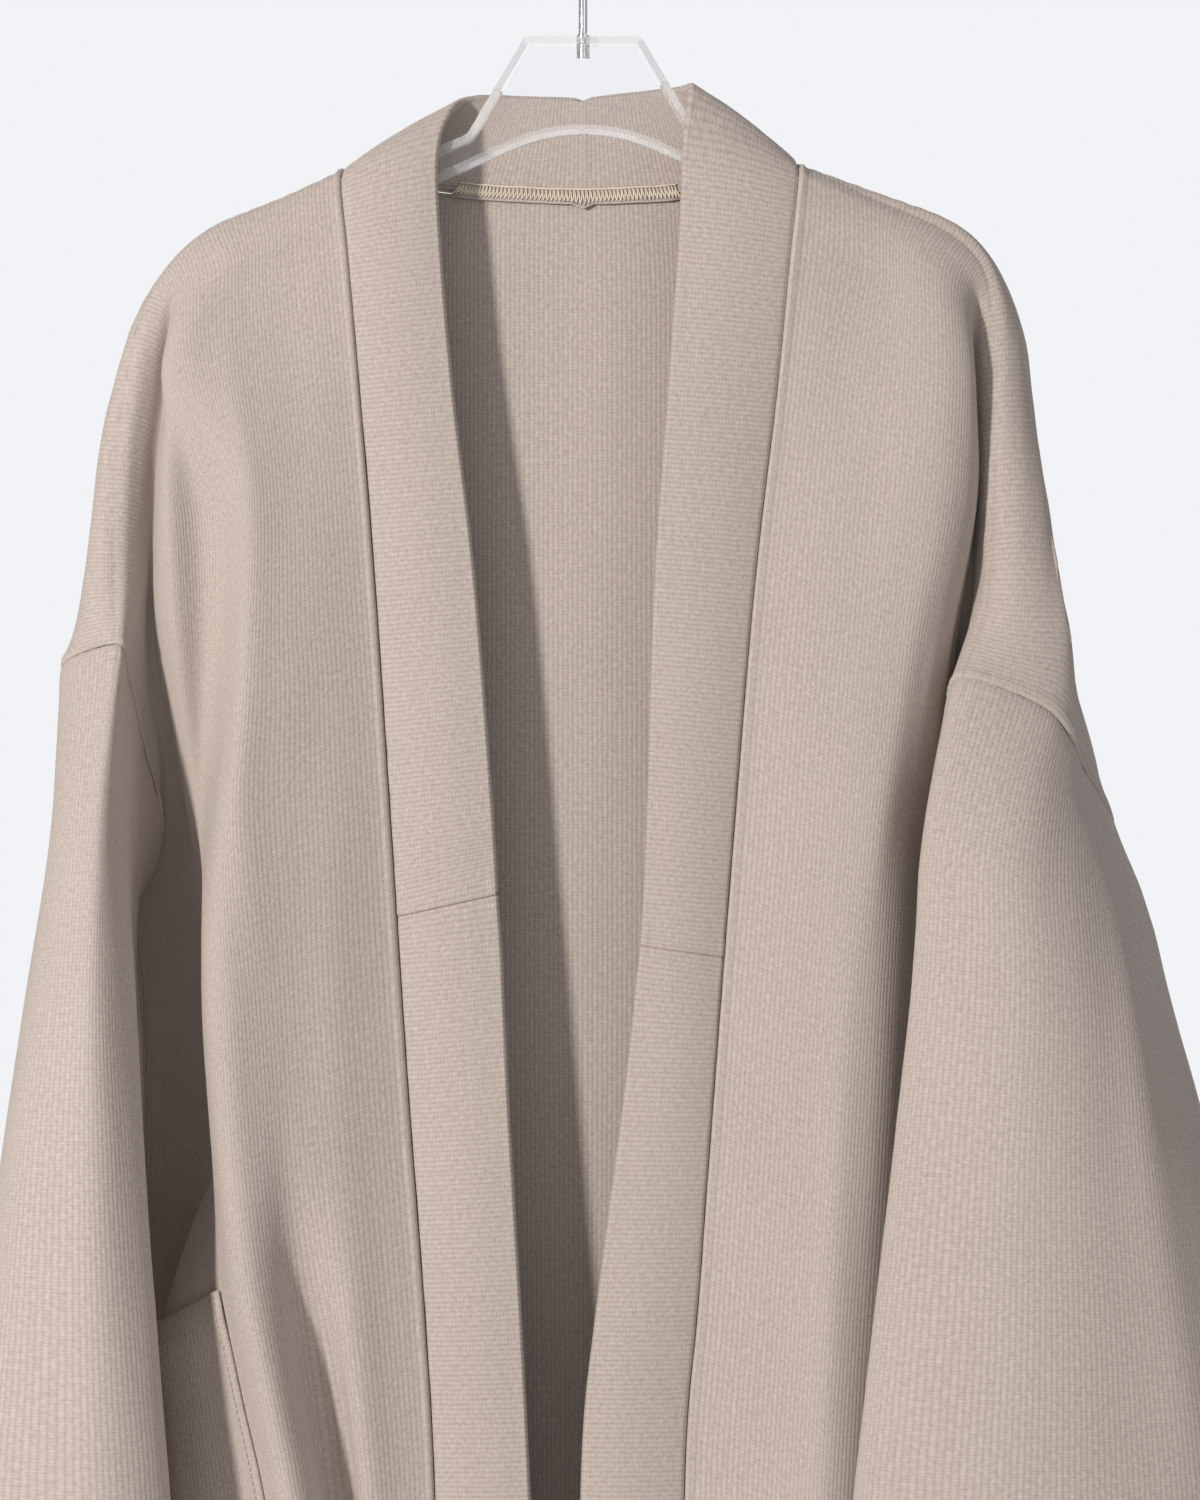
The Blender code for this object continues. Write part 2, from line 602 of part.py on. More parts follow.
def crown_band(side, seam, edge):
    """The band's surface between its seam and its free edge, slightly rounded."""
    along = np.gradient(seam, axis=0)
    outward = np.cross(along, edge - seam)
    outward /= np.linalg.norm(outward, axis=1)[:, None]
    if side == "left":
        outward = -outward
    shares = np.linspace(0, 1, BAND_COLUMNS + 1)
    grid = [
        seam + (edge - seam) * share + outward * BAND_BULGE * math.sin(math.pi * share)
        for share in shares
    ]
    return np.array(grid).transpose(1, 0, 2)


def short_way(grid, i, j, k):
    """Whether a quad's diagonal from its first corner is the shorter one."""
    first = np.linalg.norm(grid[i, j] - grid[i + 1, k])
    return first <= np.linalg.norm(grid[i, k] - grid[i + 1, j])


def grid_triangles(grid, closed=False):
    """Triangles of a grid of points, as rows and columns of their corners."""
    rows, columns = grid.shape[:2]
    triangles = []
    for i in range(rows - 1):
        for j in range(columns if closed else columns - 1):
            k = (j + 1) % columns
            if short_way(grid, i, j, k):
                triangles.append(((i, j), (i, k), (i + 1, k)))
                triangles.append(((i, j), (i + 1, k), (i + 1, j)))
            else:
                triangles.append(((i, j), (i, k), (i + 1, j)))
                triangles.append(((i, k), (i + 1, k), (i + 1, j)))
    return triangles


def grid_normals(grid, triangles):
    """Unit normals of a grid of points: each triangle counts by its angle there."""
    normals = np.zeros_like(grid)
    for corners in triangles:
        points = [grid[at] for at in corners]
        facing = unit(np.cross(points[1] - points[0], points[2] - points[0]))
        for k, at in enumerate(corners):
            ahead, back = points[(k + 1) % 3] - points[k], points[k - 1] - points[k]
            angle = math.acos(np.clip(unit(ahead) @ unit(back), -1, 1))
            normals[at] += facing * angle
    return unit(normals)


def unit(vectors):
    return vectors / np.linalg.norm(vectors, axis=-1, keepdims=True)


class Piece:
    """One cut piece: its outer points, their outward normals and its thickness."""

    def __init__(self, grid, outward, thickness=CLOTH, closed=False):
        self.grid = grid
        self.closed = closed
        self.thickness = thickness
        self.triangles = grid_triangles(grid, closed)
        self.normals = outward * grid_normals(grid, self.triangles)
        self.own_normals = self.normals.copy()
        self.shift = np.zeros_like(grid)

    def edge(self, name, part=slice(None)):
        """Indices of part of an edge, and of the points just inside it."""
        rows, columns = self.grid.shape[:2]
        if name in ("top", "foot"):
            along = np.arange(columns)[part]
            first, inside = (0, 1) if name == "top" else (rows - 1, rows - 2)
            return (np.full(len(along), first), along), (np.full(len(along), inside), along)
        along = np.arange(rows)[part]
        first, inside = (0, 1) if name == "near" else (columns - 1, columns - 2)
        return (along, np.full(len(along), first)), (along, np.full(len(along), inside))

    def skins(self):
        """Outer and inner points of the wall. Seams are mitred."""
        cosine = np.sum(self.normals * self.own_normals, axis=2, keepdims=True)
        deep = self.thickness / np.maximum(cosine, MITRE_LEAST)
        outer = self.grid + self.shift
        return outer, outer - deep * self.normals


def share_normals(pieces):
    """Gives pieces the same normals at the points they share."""
    shared = {}
    for piece in pieces:
        for at in np.ndindex(piece.grid.shape[:2]):
            key = tuple(np.round(piece.grid[at], 3))
            shared.setdefault(key, []).append((piece, at))
    for users in shared.values():
        # The body counts once where a sleeve meets both front and back.
        groups = [[use for use in users if use[0].closed == closed] for closed in (False, True)]
        groups = [group for group in groups if group]
        means = [unit(sum(piece.own_normals[at] for piece, at in group)) for group in groups]
        mean = unit(sum(means))
        for group, own in zip(groups, means):
            normal = mean
            if len(groups) == 2 and is_valley(groups, means) and mean @ own < VALLEY_LEAST:
                aside = unit(mean - own * (mean @ own))
                normal = VALLEY_LEAST * own + math.sqrt(1 - VALLEY_LEAST**2) * aside
            for piece, at in group:
                piece.normals[at] = normal


def is_valley(groups, normals):
    """Whether body and sleeve rise to either side of the seam between them."""
    rise = 0
    for group, normal in zip(groups, reversed(normals)):
        for piece, (i, j) in group:
            inside = (1, j) if piece.closed else (i, 1 if j == 0 else j - 1)
            rise += unit(piece.grid[inside] - piece.grid[i, j]) @ normal / len(group)
    return rise > 0


def sew(first, first_edge, second, second_edge):
    """Sets two pieces a seam gap apart along a line of points that they share."""
    line, inside = first.edge(*first_edge)
    other, beyond = second.edge(*second_edge)
    points = first.grid[line]
    ahead = unit(np.gradient(points, axis=0))
    normal = first.normals[line]
    apart = unit(first.grid[inside] - points) - unit(second.grid[beyond] - points)
    for direction in (ahead, normal):
        apart -= direction * np.sum(apart * direction, axis=1, keepdims=True)
    apart = unit(apart) * SEAM_GAP / 2
    first.shift[line] += apart
    second.shift[other] -= apart


def cut_pieces():
    """Every cut piece of cloth, by name, with the seams between them set apart."""
    fronts = {side: front_grid(side) for side in SIDES}
    pieces = {"back": Piece(back_grid(fronts), 1)}
    back = pieces["back"]
    for side, sign in SIDES.items():
        loop = armhole_loop(side, fronts[side], back.grid)
        seam, edge, row = split_band(side, *band_outline(side, fronts, back.grid))
        crown = crown_band(side, seam, edge)
        pieces[f"front_{side}"] = Piece(fronts[side], sign)
        pieces[f"sleeve_{side}"] = Piece(sleeve_grid(side, loop), -sign, closed=True)
        pieces[f"band_upper_{side}"] = Piece(crown[: row + 1], -sign, BAND_CLOTH)
        pieces[f"band_lower_{side}"] = Piece(crown[row:], -sign, BAND_CLOTH)
    share_normals(pieces.values())
    for side in SIDES:
        sew_side(side, pieces)
    sew(pieces["band_upper_right"], ("top",), pieces["band_upper_left"], ("top",))
    return pieces


def sew_side(side, pieces):
    back, front = pieces["back"], pieces[f"front_{side}"]
    sleeve = pieces[f"sleeve_{side}"]
    upper, lower = pieces[f"band_upper_{side}"], pieces[f"band_lower_{side}"]
    columns = back.grid.shape[1]
    centre = columns // 2
    neck = sum(row[2] for row in NECK_STEPS)
    if side == "right":
        seam_side, shoulder = "near", slice(centre - neck, None, -1)
        round_neck = slice(centre, centre - neck - 1, -1)
    else:
        seam_side, shoulder = "far", slice(centre + neck, None)
        round_neck = slice(centre, centre + neck + 1)
    sew(front, ("top",), back, ("top", shoulder))
    sew(front, ("far", slice(ARMHOLE_ROWS, None)), back, (seam_side, slice(ARMHOLE_ROWS, None)))
    # Round the armhole: up the back first, then down the front to the underarm again
    up, down = slice(ARMHOLE_ROWS, None, -1), slice(0, ARMHOLE_ROWS + 1)
    last = 2 * ARMHOLE_ROWS
    sew(back, (seam_side, up), sleeve, ("top", slice(0, ARMHOLE_ROWS + 1)))
    sew(front, ("far", down), sleeve, ("top", np.r_[ARMHOLE_ROWS:last, 0]))
    sew(back, ("top", round_neck), upper, ("near", slice(0, neck + 1)))
    above = upper.grid.shape[0] - 1 - neck
    sew(front, ("near", slice(0, above)), upper, ("near", slice(neck, neck + above)))
    sew(front, ("near", slice(above, None)), lower, ("near", slice(1, None)))
    sew(upper, ("foot",), lower, ("top",))
    # Where upper and lower band meet there is no row of the front
    for band, edge_row in ((upper, -1), (lower, 0)):
        band.shift[edge_row, 0] += band.shift[edge_row - 1 if edge_row else 1, 0]


def wall(name, piece, material):
    """A closed wall between a piece's outer and inner points."""
    rows, columns = piece.grid.shape[:2]
    last = columns if piece.closed else columns - 1
    work = bmesh.new()
    skins = []
    for grid in piece.skins():
        skins.append([[work.verts.new(point * MM) for point in row] for row in grid])
    for skin in skins:
        for corners in piece.triangles:
            work.faces.new([skin[i][j] for i, j in corners])
    rims = [((i, j), (i, (j + 1) % columns)) for i in (0, rows - 1) for j in range(last)]
    if not piece.closed:
        rims += [((i, j), (i + 1, j)) for i in range(rows - 1) for j in (0, columns - 1)]
    out, lining = skins
    # The rim of thick cloth is divided where thin cloth sewn to it ends.
    between = {}
    for i, j in {at for rim in rims for at in rim}:
        ends = [out[i][j], lining[i][j]]
        if piece.thickness > CLOTH:
            ends.insert(1, work.verts.new(ends[0].co.lerp(ends[1].co, CLOTH / piece.thickness)))
        between[i, j] = ends
    for here, there in rims:
        # Both pieces at a seam turn the diagonal of the rim the same way.
        if tuple(piece.grid[here].round(3)) > tuple(piece.grid[there].round(3)):
            here, there = there, here
        for k in range(len(between[here]) - 1):
            a, d = between[here][k : k + 2]
            b, c = between[there][k : k + 2]
            work.faces.new((a, b, c))
            work.faces.new((a, c, d))
    bmesh.ops.recalc_face_normals(work, faces=work.faces)
    mesh = bpy.data.meshes.new(name)
    work.to_mesh(mesh)
    work.free()
    return add_part(name, mesh, material)


def pocket_piece(front):
    """A patch pocket, made from the front's own points moved out."""
    first = ARMHOLE_ROWS + CHEST_ROWS
    columns = slice(SHOULDER_STEPS[0][2], SHOULDER_STEPS[0][2] + SHOULDER_STEPS[1][2] + 1)
    rows = slice(first, first + POCKET_ROWS + 1)
    outer, _ = front.skins()
    pocket = Piece(front.grid[rows, columns], 1)
    pocket.normals = front.normals[rows, columns]
    pocket.own_normals = pocket.normals
    pocket.grid = outer[rows, columns] + pocket.normals * (SEAM_GAP + CLOTH)
    across = np.sin(np.linspace(0, math.pi, pocket.grid.shape[1]))
    pocket.shift[0] = pocket.normals[0] * (POCKET_GAPE * across)[:, None]
    return pocket


def add_part(name, mesh, material, collection="kimono_coat"):
    part = bpy.data.objects.new(name, mesh)
    bpy.data.collections[collection].objects.link(part)
    mesh.materials.append(material)
    mesh.shade_smooth()
    mesh.set_sharp_from_angle(angle=math.radians(50))
    return part


def rounded(corners):
    """The outline through corners given as x, z and radius, with their arcs."""
    count = len(corners)
    outline = []
    for k, (x, z, radius) in enumerate(corners):
        at = np.array((x, z), float)
        before = unit(np.array(corners[k - 1][:2], float) - at)
        after = unit(np.array(corners[(k + 1) % count][:2], float) - at)
        half = math.acos(np.clip(before @ after, -1, 1)) / 2
        centre = at + unit(before + after) * radius / math.sin(half)
        starts = [at + way * radius / math.tan(half) - centre for way in (before, after)]
        first = math.atan2(starts[0][1], starts[0][0])
        turn = math.atan2(starts[1][1], starts[1][0]) - first
        turn = (turn + math.pi) % (2 * math.pi) - math.pi
        steps = max(2, round(abs(turn) * radius / ARC_STEP) + 1)
        for angle in first + turn * np.linspace(0, 1, steps):
            outline.append(centre + radius * np.array((math.cos(angle), math.sin(angle))))
    return outline


def curve_mesh(name, points, make):
    """The mesh of a poly curve through points, after make has set it up."""
    line = bpy.data.curves.new(name, "CURVE")
    line.dimensions = "3D"
    spline = line.splines.new("POLY")
    spline.points.add(len(points) - 1)
    for point, place in zip(spline.points, points):
        point.co = (*(np.array(place[:3]) * MM), 1)
        point.radius = place[3] if len(place) > 3 else 1
    make(line, spline)
    holder = bpy.data.objects.new(name, line)
    bpy.context.scene.collection.objects.link(holder)
    evaluated = holder.evaluated_get(bpy.context.evaluated_depsgraph_get())
    mesh = bpy.data.meshes.new_from_object(evaluated)
    bpy.data.objects.remove(holder)
    return mesh


def build_hanger(acrylic, chrome):
    half = list(PLATE_HALF)
    mirrored = [(-x, z, radius) for x, z, radius in reversed(half)]
    meet, arch = PLATE_ARCH
    outline = rounded(half + [(0, meet, arch)] + mirrored)

    def plate(line, spline):
        line.dimensions = "2D"
        line.fill_mode = "BOTH"
        line.extrude = (PLATE / 2 - PLATE_EDGE) * MM
        line.bevel_depth = PLATE_EDGE * MM
        line.bevel_resolution = 1
        line.offset = -PLATE_EDGE * MM
        spline.use_cyclic_u = True

    mesh = curve_mesh("hanger", [(x, z, 0) for x, z in outline], plate)
    mesh.transform(Matrix.Rotation(math.radians(90), 4, "X"))
    hanger = add_part("hanger", mesh, acrylic)
    weld(mesh)

    bore = FERRULE + SEAM_GAP
    foot = FERRULE_FOOT - SEAM_GAP
    top = PLATE_HALF[0][1] + 2
    bpy.ops.mesh.primitive_cylinder_add(
        vertices=24, radius=bore * MM, depth=(top - foot) * MM, location=(0, 0, (top + foot) / 2 * MM)
    )
    cutter = bpy.context.object
    cutter.name = "hook_bore"
    for collection in list(cutter.users_collection):
        collection.objects.unlink(cutter)
    bpy.data.collections["cutters"].objects.link(cutter)
    cutter.hide_render = True
    cutter.display_type = "WIRE"
    cut = hanger.modifiers.new("bore", "BOOLEAN")
    cut.operation = "DIFFERENCE"
    cut.solver = "EXACT"
    cut.object = cutter

    def rod(line, spline):
        line.bevel_depth = MM
        line.bevel_resolution = 5
        line.use_fill_caps = True

    mesh = curve_mesh("hook", hook_line(), rod)
    weld(mesh)
    add_part("hook", mesh, chrome)


def weld(mesh):
    work = bmesh.new()
    work.from_mesh(mesh)
    bmesh.ops.remove_doubles(work, verts=work.verts, dist=0.0001 * MM)
    bmesh.ops.recalc_face_normals(work, faces=work.faces)
    work.to_mesh(mesh)
    work.free()


def hook_line():
    """Points and radii of the hook, from the ferrule's foot to the rounded tip."""
    bend = HOOK_INNER + ROD
    points = [
        (0, 0, FERRULE_FOOT, FERRULE),
        (0, 0, FERRULE_TOP, FERRULE),
        (0, 0, FERRULE_TOP + 0.4, ROD),
        (0, 0, HOOK_STEM, ROD),
    ]
    start = math.radians(HOOK_START)
    meet = np.array((bend * math.cos(start), 0, -HOOK_INNER + bend * math.sin(start)))
    corner = np.array((0, 0, HOOK_STEM + HOOK_EASE))
    lead = meet - HOOK_EASE * np.array((-math.sin(start), 0, math.cos(start)))
    foot = np.array((0, 0, HOOK_STEM))
    for share in np.linspace(0, 1, 7)[1:-1]:
        rest = 1 - share
        point = (
            rest**3 * foot + 3 * rest**2 * share * corner + 3 * rest * share**2 * lead + share**3 * meet
        )
        points.append((*point, ROD))
    for angle in np.radians(np.linspace(HOOK_START, HOOK_END, 24)):
        points.append((bend * math.cos(angle), 0, -HOOK_INNER + bend * math.sin(angle), ROD))
    end = math.radians(HOOK_END)
    ahead = np.array((-math.sin(end), 0, math.cos(end)))
    tip = np.array(points[-1][:3])
    for angle in np.radians((30, 60, 85)):
        place = tip + ahead * ROD * math.sin(angle)
        points.append((*place, ROD * math.cos(angle)))
    return points


def make_material(name, colour, roughness, metallic=0.0, clear=0.0):
    material = bpy.data.materials.new(name)
    material.use_nodes = True
    shader = material.node_tree.nodes["Principled BSDF"]
    shader.inputs["Base Color"].default_value = (*colour, 1.0)
    shader.inputs["Roughness"].default_value = roughness
    shader.inputs["Metallic"].default_value = metallic
    shader.inputs["Transmission Weight"].default_value = clear
    return material


def main():
    for item in list(bpy.data.objects):
        bpy.data.objects.remove(item)
    for name in ("kimono_coat", "cutters"):
        bpy.context.scene.collection.children.link(bpy.data.collections.new(name))
    knit = make_material("knit", (0.42, 0.36, 0.30), 0.9)
    acrylic = make_material("clear_acrylic", (0.95, 0.97, 0.97), 0.05, clear=1.0)
    chrome = make_material("chrome", (0.72, 0.72, 0.73), 0.12, metallic=1.0)
    pieces = cut_pieces()
    for side in SIDES:
        pieces[f"pocket_{side}"] = pocket_piece(pieces[f"front_{side}"])
    for name, piece in pieces.items():
        wall(name, piece, knit)
    build_hanger(acrylic, chrome)


main()
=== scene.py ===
"""Looks of the kimono coat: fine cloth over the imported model, materials, light and camera.

The cloth's shape comes from the same tables and functions as the solids, read at more
places. Sizes in the tables are millimetres; meshes are built in metres.
Frame: +Z up, -Y towards the viewer of the coat's front, +X to that viewer's right.
"""

import math

import bmesh
import bpy
import numpy as np
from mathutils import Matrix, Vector, noise

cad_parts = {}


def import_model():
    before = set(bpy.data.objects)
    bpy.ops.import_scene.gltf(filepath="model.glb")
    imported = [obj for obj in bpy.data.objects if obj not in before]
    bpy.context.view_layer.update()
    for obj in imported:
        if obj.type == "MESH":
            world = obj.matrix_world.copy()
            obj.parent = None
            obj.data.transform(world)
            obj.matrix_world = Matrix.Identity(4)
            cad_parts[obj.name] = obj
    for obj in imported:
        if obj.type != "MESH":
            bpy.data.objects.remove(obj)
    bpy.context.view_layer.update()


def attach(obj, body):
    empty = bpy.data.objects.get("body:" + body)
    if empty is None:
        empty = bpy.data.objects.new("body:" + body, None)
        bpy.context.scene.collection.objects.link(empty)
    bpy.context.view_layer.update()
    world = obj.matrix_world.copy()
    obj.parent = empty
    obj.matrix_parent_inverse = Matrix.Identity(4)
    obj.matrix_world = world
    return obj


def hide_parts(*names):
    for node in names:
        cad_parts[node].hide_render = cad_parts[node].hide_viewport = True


MM = 0.001
TINY = 1e-6
NUDGE = 1e-9  # keeps the direction of a point without extent defined

# Camera, as the photograph is framed: its place in metres, its lens in millimetres
CAMERA_PLACE = (0.0085, -2.4, -0.4365)
CAMERA_LENS = 115.2
SENSOR_HEIGHT = 36.0
CLIP_START = 0.05

SIDES = {"right": 1, "left": -1}
# The back's edge on each side: its column and its name
BACK_EDGES = {"right": (0, "near"), "left": (-1, "far")}

# Cloth
CLOTH = 1.8  # thickness of one layer of the double knit
BAND_CLOTH = 3.6  # the front band is folded double
SEAM_GAP = 0.3
SHOULDER = 315.0  # along the shoulder seam, from the band to the sleeve
ARM_REACH = 88.0  # how much of that the hanger carries
ARMHOLE = 250.0  # depth of the armhole, each of front and back
LENGTH = 980.0  # front length, shoulder to hem
SHOULDER_SLOPE = 0.12  # how much shorter the cloth is for each mm towards the side
ROLL = 6.0  # roundness of the cloth over the hanger's arm
TURN_MOST = {"right": 2.3, "left": 1.6}  # how far round that fold goes in front, in radians
TURN_RUN = {"right": 12.0, "left": 18.0}  # how far the cloth runs on from there, into a recess
BACK_MOST = 1.3  # how far round it goes at the back
BACK_TURN = 0.3  # how much of the turn the back of the fold makes
TURN_FULL = 40.0  # how far beyond the hanger's arm the fold stands quite free of it
REACH_SHARE, REACH_LEAST = 1.5, 21.0  # how far below the turn the cloth hangs as in the sections
NECK_FALL = 60.0  # how far below the neck seam the back does
JOIN_ROWS = 3  # rows over which the back is drawn to the pieces sewn to its top
NECK_HALF = 122.0  # from centre back to the shoulder seam

# Columns of a front panel, as distances from the band seam along the cloth
FRONT_COLUMNS = (0, 40, 75, 100, 120, 150, 190, 245, SHOULDER)
# Columns of half the back panel, as distances from its centre line
BACK_COLUMNS = (0, 55, 122, 167, 210, 255, 300, 360, 405, NECK_HALF + SHOULDER)

# The ridge is the line along which the cloth turns over the shoulder.
# seam is how far in front of the ridge the shoulder seam lies, turn the direction in
# which the cloth leaves the ridge forwards, in degrees from +X, and round the radius
# of the fold there.
RIDGE = {
    "right": (
        # along, x, y, z, seam, turn, round
        (0, -118, 0, -145.5, 0, -90, 9),
        (45, -160, 0, -164, 0, -90, 9),
        (88, -197, 0, -182, 0, -90, 9.5),
        (118, -216, 0, -206, 3, -88, 11),
        (156, -232, -2, -242, 10, -84, 11),
        (205, -241, -6, -290, 14, -80, 11.5),
        (260, -247, -9, -342, 19, -78, 13),
        (315, -252, -14, -389, 24, -74, 15),
    ),
    "left": (
        (0, 107, 0, -143, 2, -90, 9),
        (45, 150, 0, -160, 8, -90, 9),
        (88, 194, -1, -178, 11, -94, 10),
        (118, 211, -5, -202, 13, -112, 11),
        (156, 217, -10, -242, 14, -135, 12),
        (205, 218, -20, -295, 16, -150, 13),
        (260, 222, -31, -355, 25, -168, 18),
        (315, 226, -41, -415, 40, -176, 22),
    ),
}

# The armhole seam, from the underarm up the back, over and down the front.
# along is measured from the ridge, positive to the front.
ARMHOLE_SEAM = {
    "right": (
        # name, along, x, y, z
        ("under", -250, -228, 38, -514),
        ("pit", -212, -242, 36, -498),
        ("rear", -140, -256, 27, -448),
        ("outer", -70, -259, 6, -411),
        ("ridge", 0, -252, -14, -389),
        ("fold", 24, -231, -28, -384),
        ("brow", 62, -226, -14, -399),
        ("inner", 115, -220, 4, -433),
        ("heel", 180, -212, 18, -475),
        ("gore", 220, -217, 30, -499),
        ("under", 250, -228, 38, -514),
    ),
    "left": (
        ("under", -250, 246, 31, -515),
        ("pit", -205, 260, 20, -502),
        ("rear", -140, 267, 2, -480),
        ("outer", -62, 250, -25, -449),
        ("ridge", 0, 226, -41, -415),
        ("fold", 40, 187, -40, -401),
        ("brow", 76, 180, -24, -412),
        ("inner", 122, 186, -5, -440),
        ("heel", 184, 202, 9, -477),
        ("gore", 222, 226, 23, -501),
        ("under", 250, 246, 31, -515),
    ),
}

SIDE_SEAM = {
    "right": (
        # z, x, y
        (-514, -228, 38),
        (-561, -224, 42),
        (-690, -224, 51),
        (-811, -226, 58),
        (-1180, -236, 72),
    ),
    "left": (
        (-515, 246, 31),
        (-561, 249, 40),
        (-690, 254, 46),
        (-811, 258, 52),
        (-1180, 268, 68),
    ),
}

# Level sections of the fronts: x and y of each inner column, from the band outwards.
FRONT_SECTIONS = {
    "right": (
        # z, then x, y of plane, brow, crest, turn, hollow, rise, tuck
        (-200, -153, -17, -178, -19, -198, -18, -210, -14, -216, -10, -222, -10, -230, -10),
        (-235, -150, -20, -177, -25, -197, -25, -209, -22, -215, -11, -217, 0, -221, 3),
        (-311, -142, -28, -166, -35, -177, -26, -189, -19, -206, -24, -214, -8, -220, 2),
        (-381, -140, -32, -167, -39, -176, -25, -186, -14, -202, -19, -212, -6, -218, 4),
        (-420, -138, -33, -169, -42, -178, -27, -186, -11, -199, -11, -206, -1, -210, 12),
        (-456, -138, -34, -172, -45, -181, -31, -186, -11, -195, -4, -200, 4, -203, 20),
        (-500, -136, -36, -170, -48, -184, -42, -188, -22, -189, -4, -192, 11, -202, 25),
        (-561, -134, -37, -164, -48, -181, -50, -188, -34, -184, -10, -180, 12, -198, 26),
        (-640, -128, -38, -158, -50, -176, -51, -183, -34, -182, -10, -180, 10, -193, 27),
        (-700, -122, -38, -152, -50, -168, -52, -177, -40, -186, -26, -206, -8, -190, 22),
        (-811, -110, -35, -132, -50, -147, -51, -153, -42, -170, -29, -202, -13, -181, 22),
        (-1180, -102, -40, -130, -54, -151, -56, -160, -44, -174, -28, -206, -12, -186, 26),
    ),
    "left": (
        (-200, 145, -18, 168, -21, 186, -20, 196, -15, 200, -10, 203, -8, 207, -8),
        (-235, 139, -21, 168, -26, 188, -26, 195, -20, 194, -8, 195, -2, 199, 0),
        (-311, 130, -26, 163, -32, 184, -30, 194, -21, 196, -8, 195, 0, 198, 2),
        (-381, 124, -29, 154, -33, 171, -29, 181, -19, 185, -6, 188, 3, 192, 5),
        (-420, 120, -30, 150, -34, 166, -27, 176, -14, 182, 0, 188, 11, 195, 12),
        (-456, 117, -31, 146, -35, 161, -25, 171, -10, 180, 5, 188, 17, 195, 18),
        (-500, 114, -32, 142, -36, 158, -27, 169, -10, 180, 8, 191, 21, 208, 25),
        (-561, 108, -33, 137, -38, 154, -30, 166, -13, 175, 5, 194, 13, 214, 23),
        (-640, 103, -34, 132, -39, 150, -32, 163, -14, 172, 6, 195, 8, 213, 24),
        (-700, 99, -35, 128, -41, 146, -34, 160, -17, 169, 7, 196, 3, 214, 26),
        (-811, 92, -37, 121, -43, 141, -37, 157, -20, 166, 7, 196, 1, 213, 26),
        (-1180, 88, -41, 118, -48, 141, -43, 160, -24, 169, 5, 202, 2, 219, 34),
    ),
}

# Level sections of the back: x and y of each inner column, from the centre outwards.
BACK_SECTIONS = {
    "right": (
        # z, then x, y of mid, neck, blade, tip, drop, outer, tuck, edge
        (-200, -55, 13, -112, 13, -156, 14, -196, 11, -217, 4, -224, 4, -230, 2, -234, 2),
        (-235, -55, 13, -112, 14, -156, 17, -197, 16, -222, 12, -231, 8, -236, 4, -238, 2),
        (-311, -55, 14, -111, 16, -155, 22, -198, 28, -228, 28, -239, 18, -243, 8, -246, 4),
        (-381, -55, 16, -110, 20, -153, 28, -194, 36, -224, 40, -243, 34, -250, 20, -253, 6),
        (-420, -55, 17, -109, 22, -150, 31, -189, 39, -218, 44, -240, 43, -251, 35, -257, 25),
        (-456, -55, 18, -108, 25, -148, 33, -184, 41, -212, 47, -234, 50, -248, 48, -253, 41),
        (-500, -55, 19, -107, 27, -145, 35, -177, 36, -204, 45, -228, 54, -243, 55, -247, 47),
        (-561, -55, 21, -106, 34, -142, 40, -167, 33, -189, 44, -212, 60, -230, 61, -234, 52),
        (-690, -53, 24, -102, 44, -137, 42, -157, 24, -178, 50, -203, 74, -227, 74, -234, 62),
        (-811, -51, 28, -98, 52, -132, 48, -152, 24, -173, 53, -198, 82, -226, 85, -236, 71),
        (-1180, -50, 40, -96, 64, -130, 60, -152, 34, -175, 66, -204, 98, -235, 100, -246, 86),
    ),
    "left": (
        (-200, 55, 13, 106, 13, 148, 14, 190, 10, 209, 2, 214, -2, 217, -6, 219, -8),
        (-235, 55, 13, 106, 14, 149, 17, 190, 16, 212, 9, 218, 2, 219, -4, 220, -10),
        (-311, 55, 14, 106, 16, 150, 22, 190, 26, 213, 21, 221, 8, 223, -8, 224, -18),
        (-343, 55, 15, 106, 18, 150, 25, 190, 30, 216, 27, 230, 12, 230, -6, 229, -20),
        (-393, 55, 16, 105, 21, 150, 28, 188, 34, 218, 36, 240, 22, 245, 2, 241, -18),
        (-431, 55, 18, 104, 24, 149, 31, 187, 38, 219, 40, 246, 30, 256, 12, 255, -3),
        (-464, 55, 18, 104, 25, 148, 33, 186, 41, 219, 44, 247, 41, 261, 28, 264, 12),
        (-502, 55, 19, 103, 28, 146, 34, 181, 35, 211, 43, 238, 50, 257, 48, 264, 36),
        (-561, 55, 21, 103, 34, 145, 39, 175, 31, 204, 46, 231, 61, 253, 61, 260, 50),
        (-690, 53, 24, 99, 44, 139, 44, 167, 27, 198, 50, 229, 74, 255, 73, 263, 58),
        (-811, 51, 28, 96, 50, 134, 48, 164, 25, 194, 54, 227, 82, 257, 81, 268, 65),
        (-1180, 50, 40, 94, 62, 132, 60, 164, 36, 198, 68, 234, 98, 267, 97, 279, 81),
    ),
}

# The back's centre line
BACK_MIDDLE = (
    # z, y
    (-161, 14.5),
    (-300, 13),
    (-561, 18),
    (-811, 25),
    (-1180, 36),
)

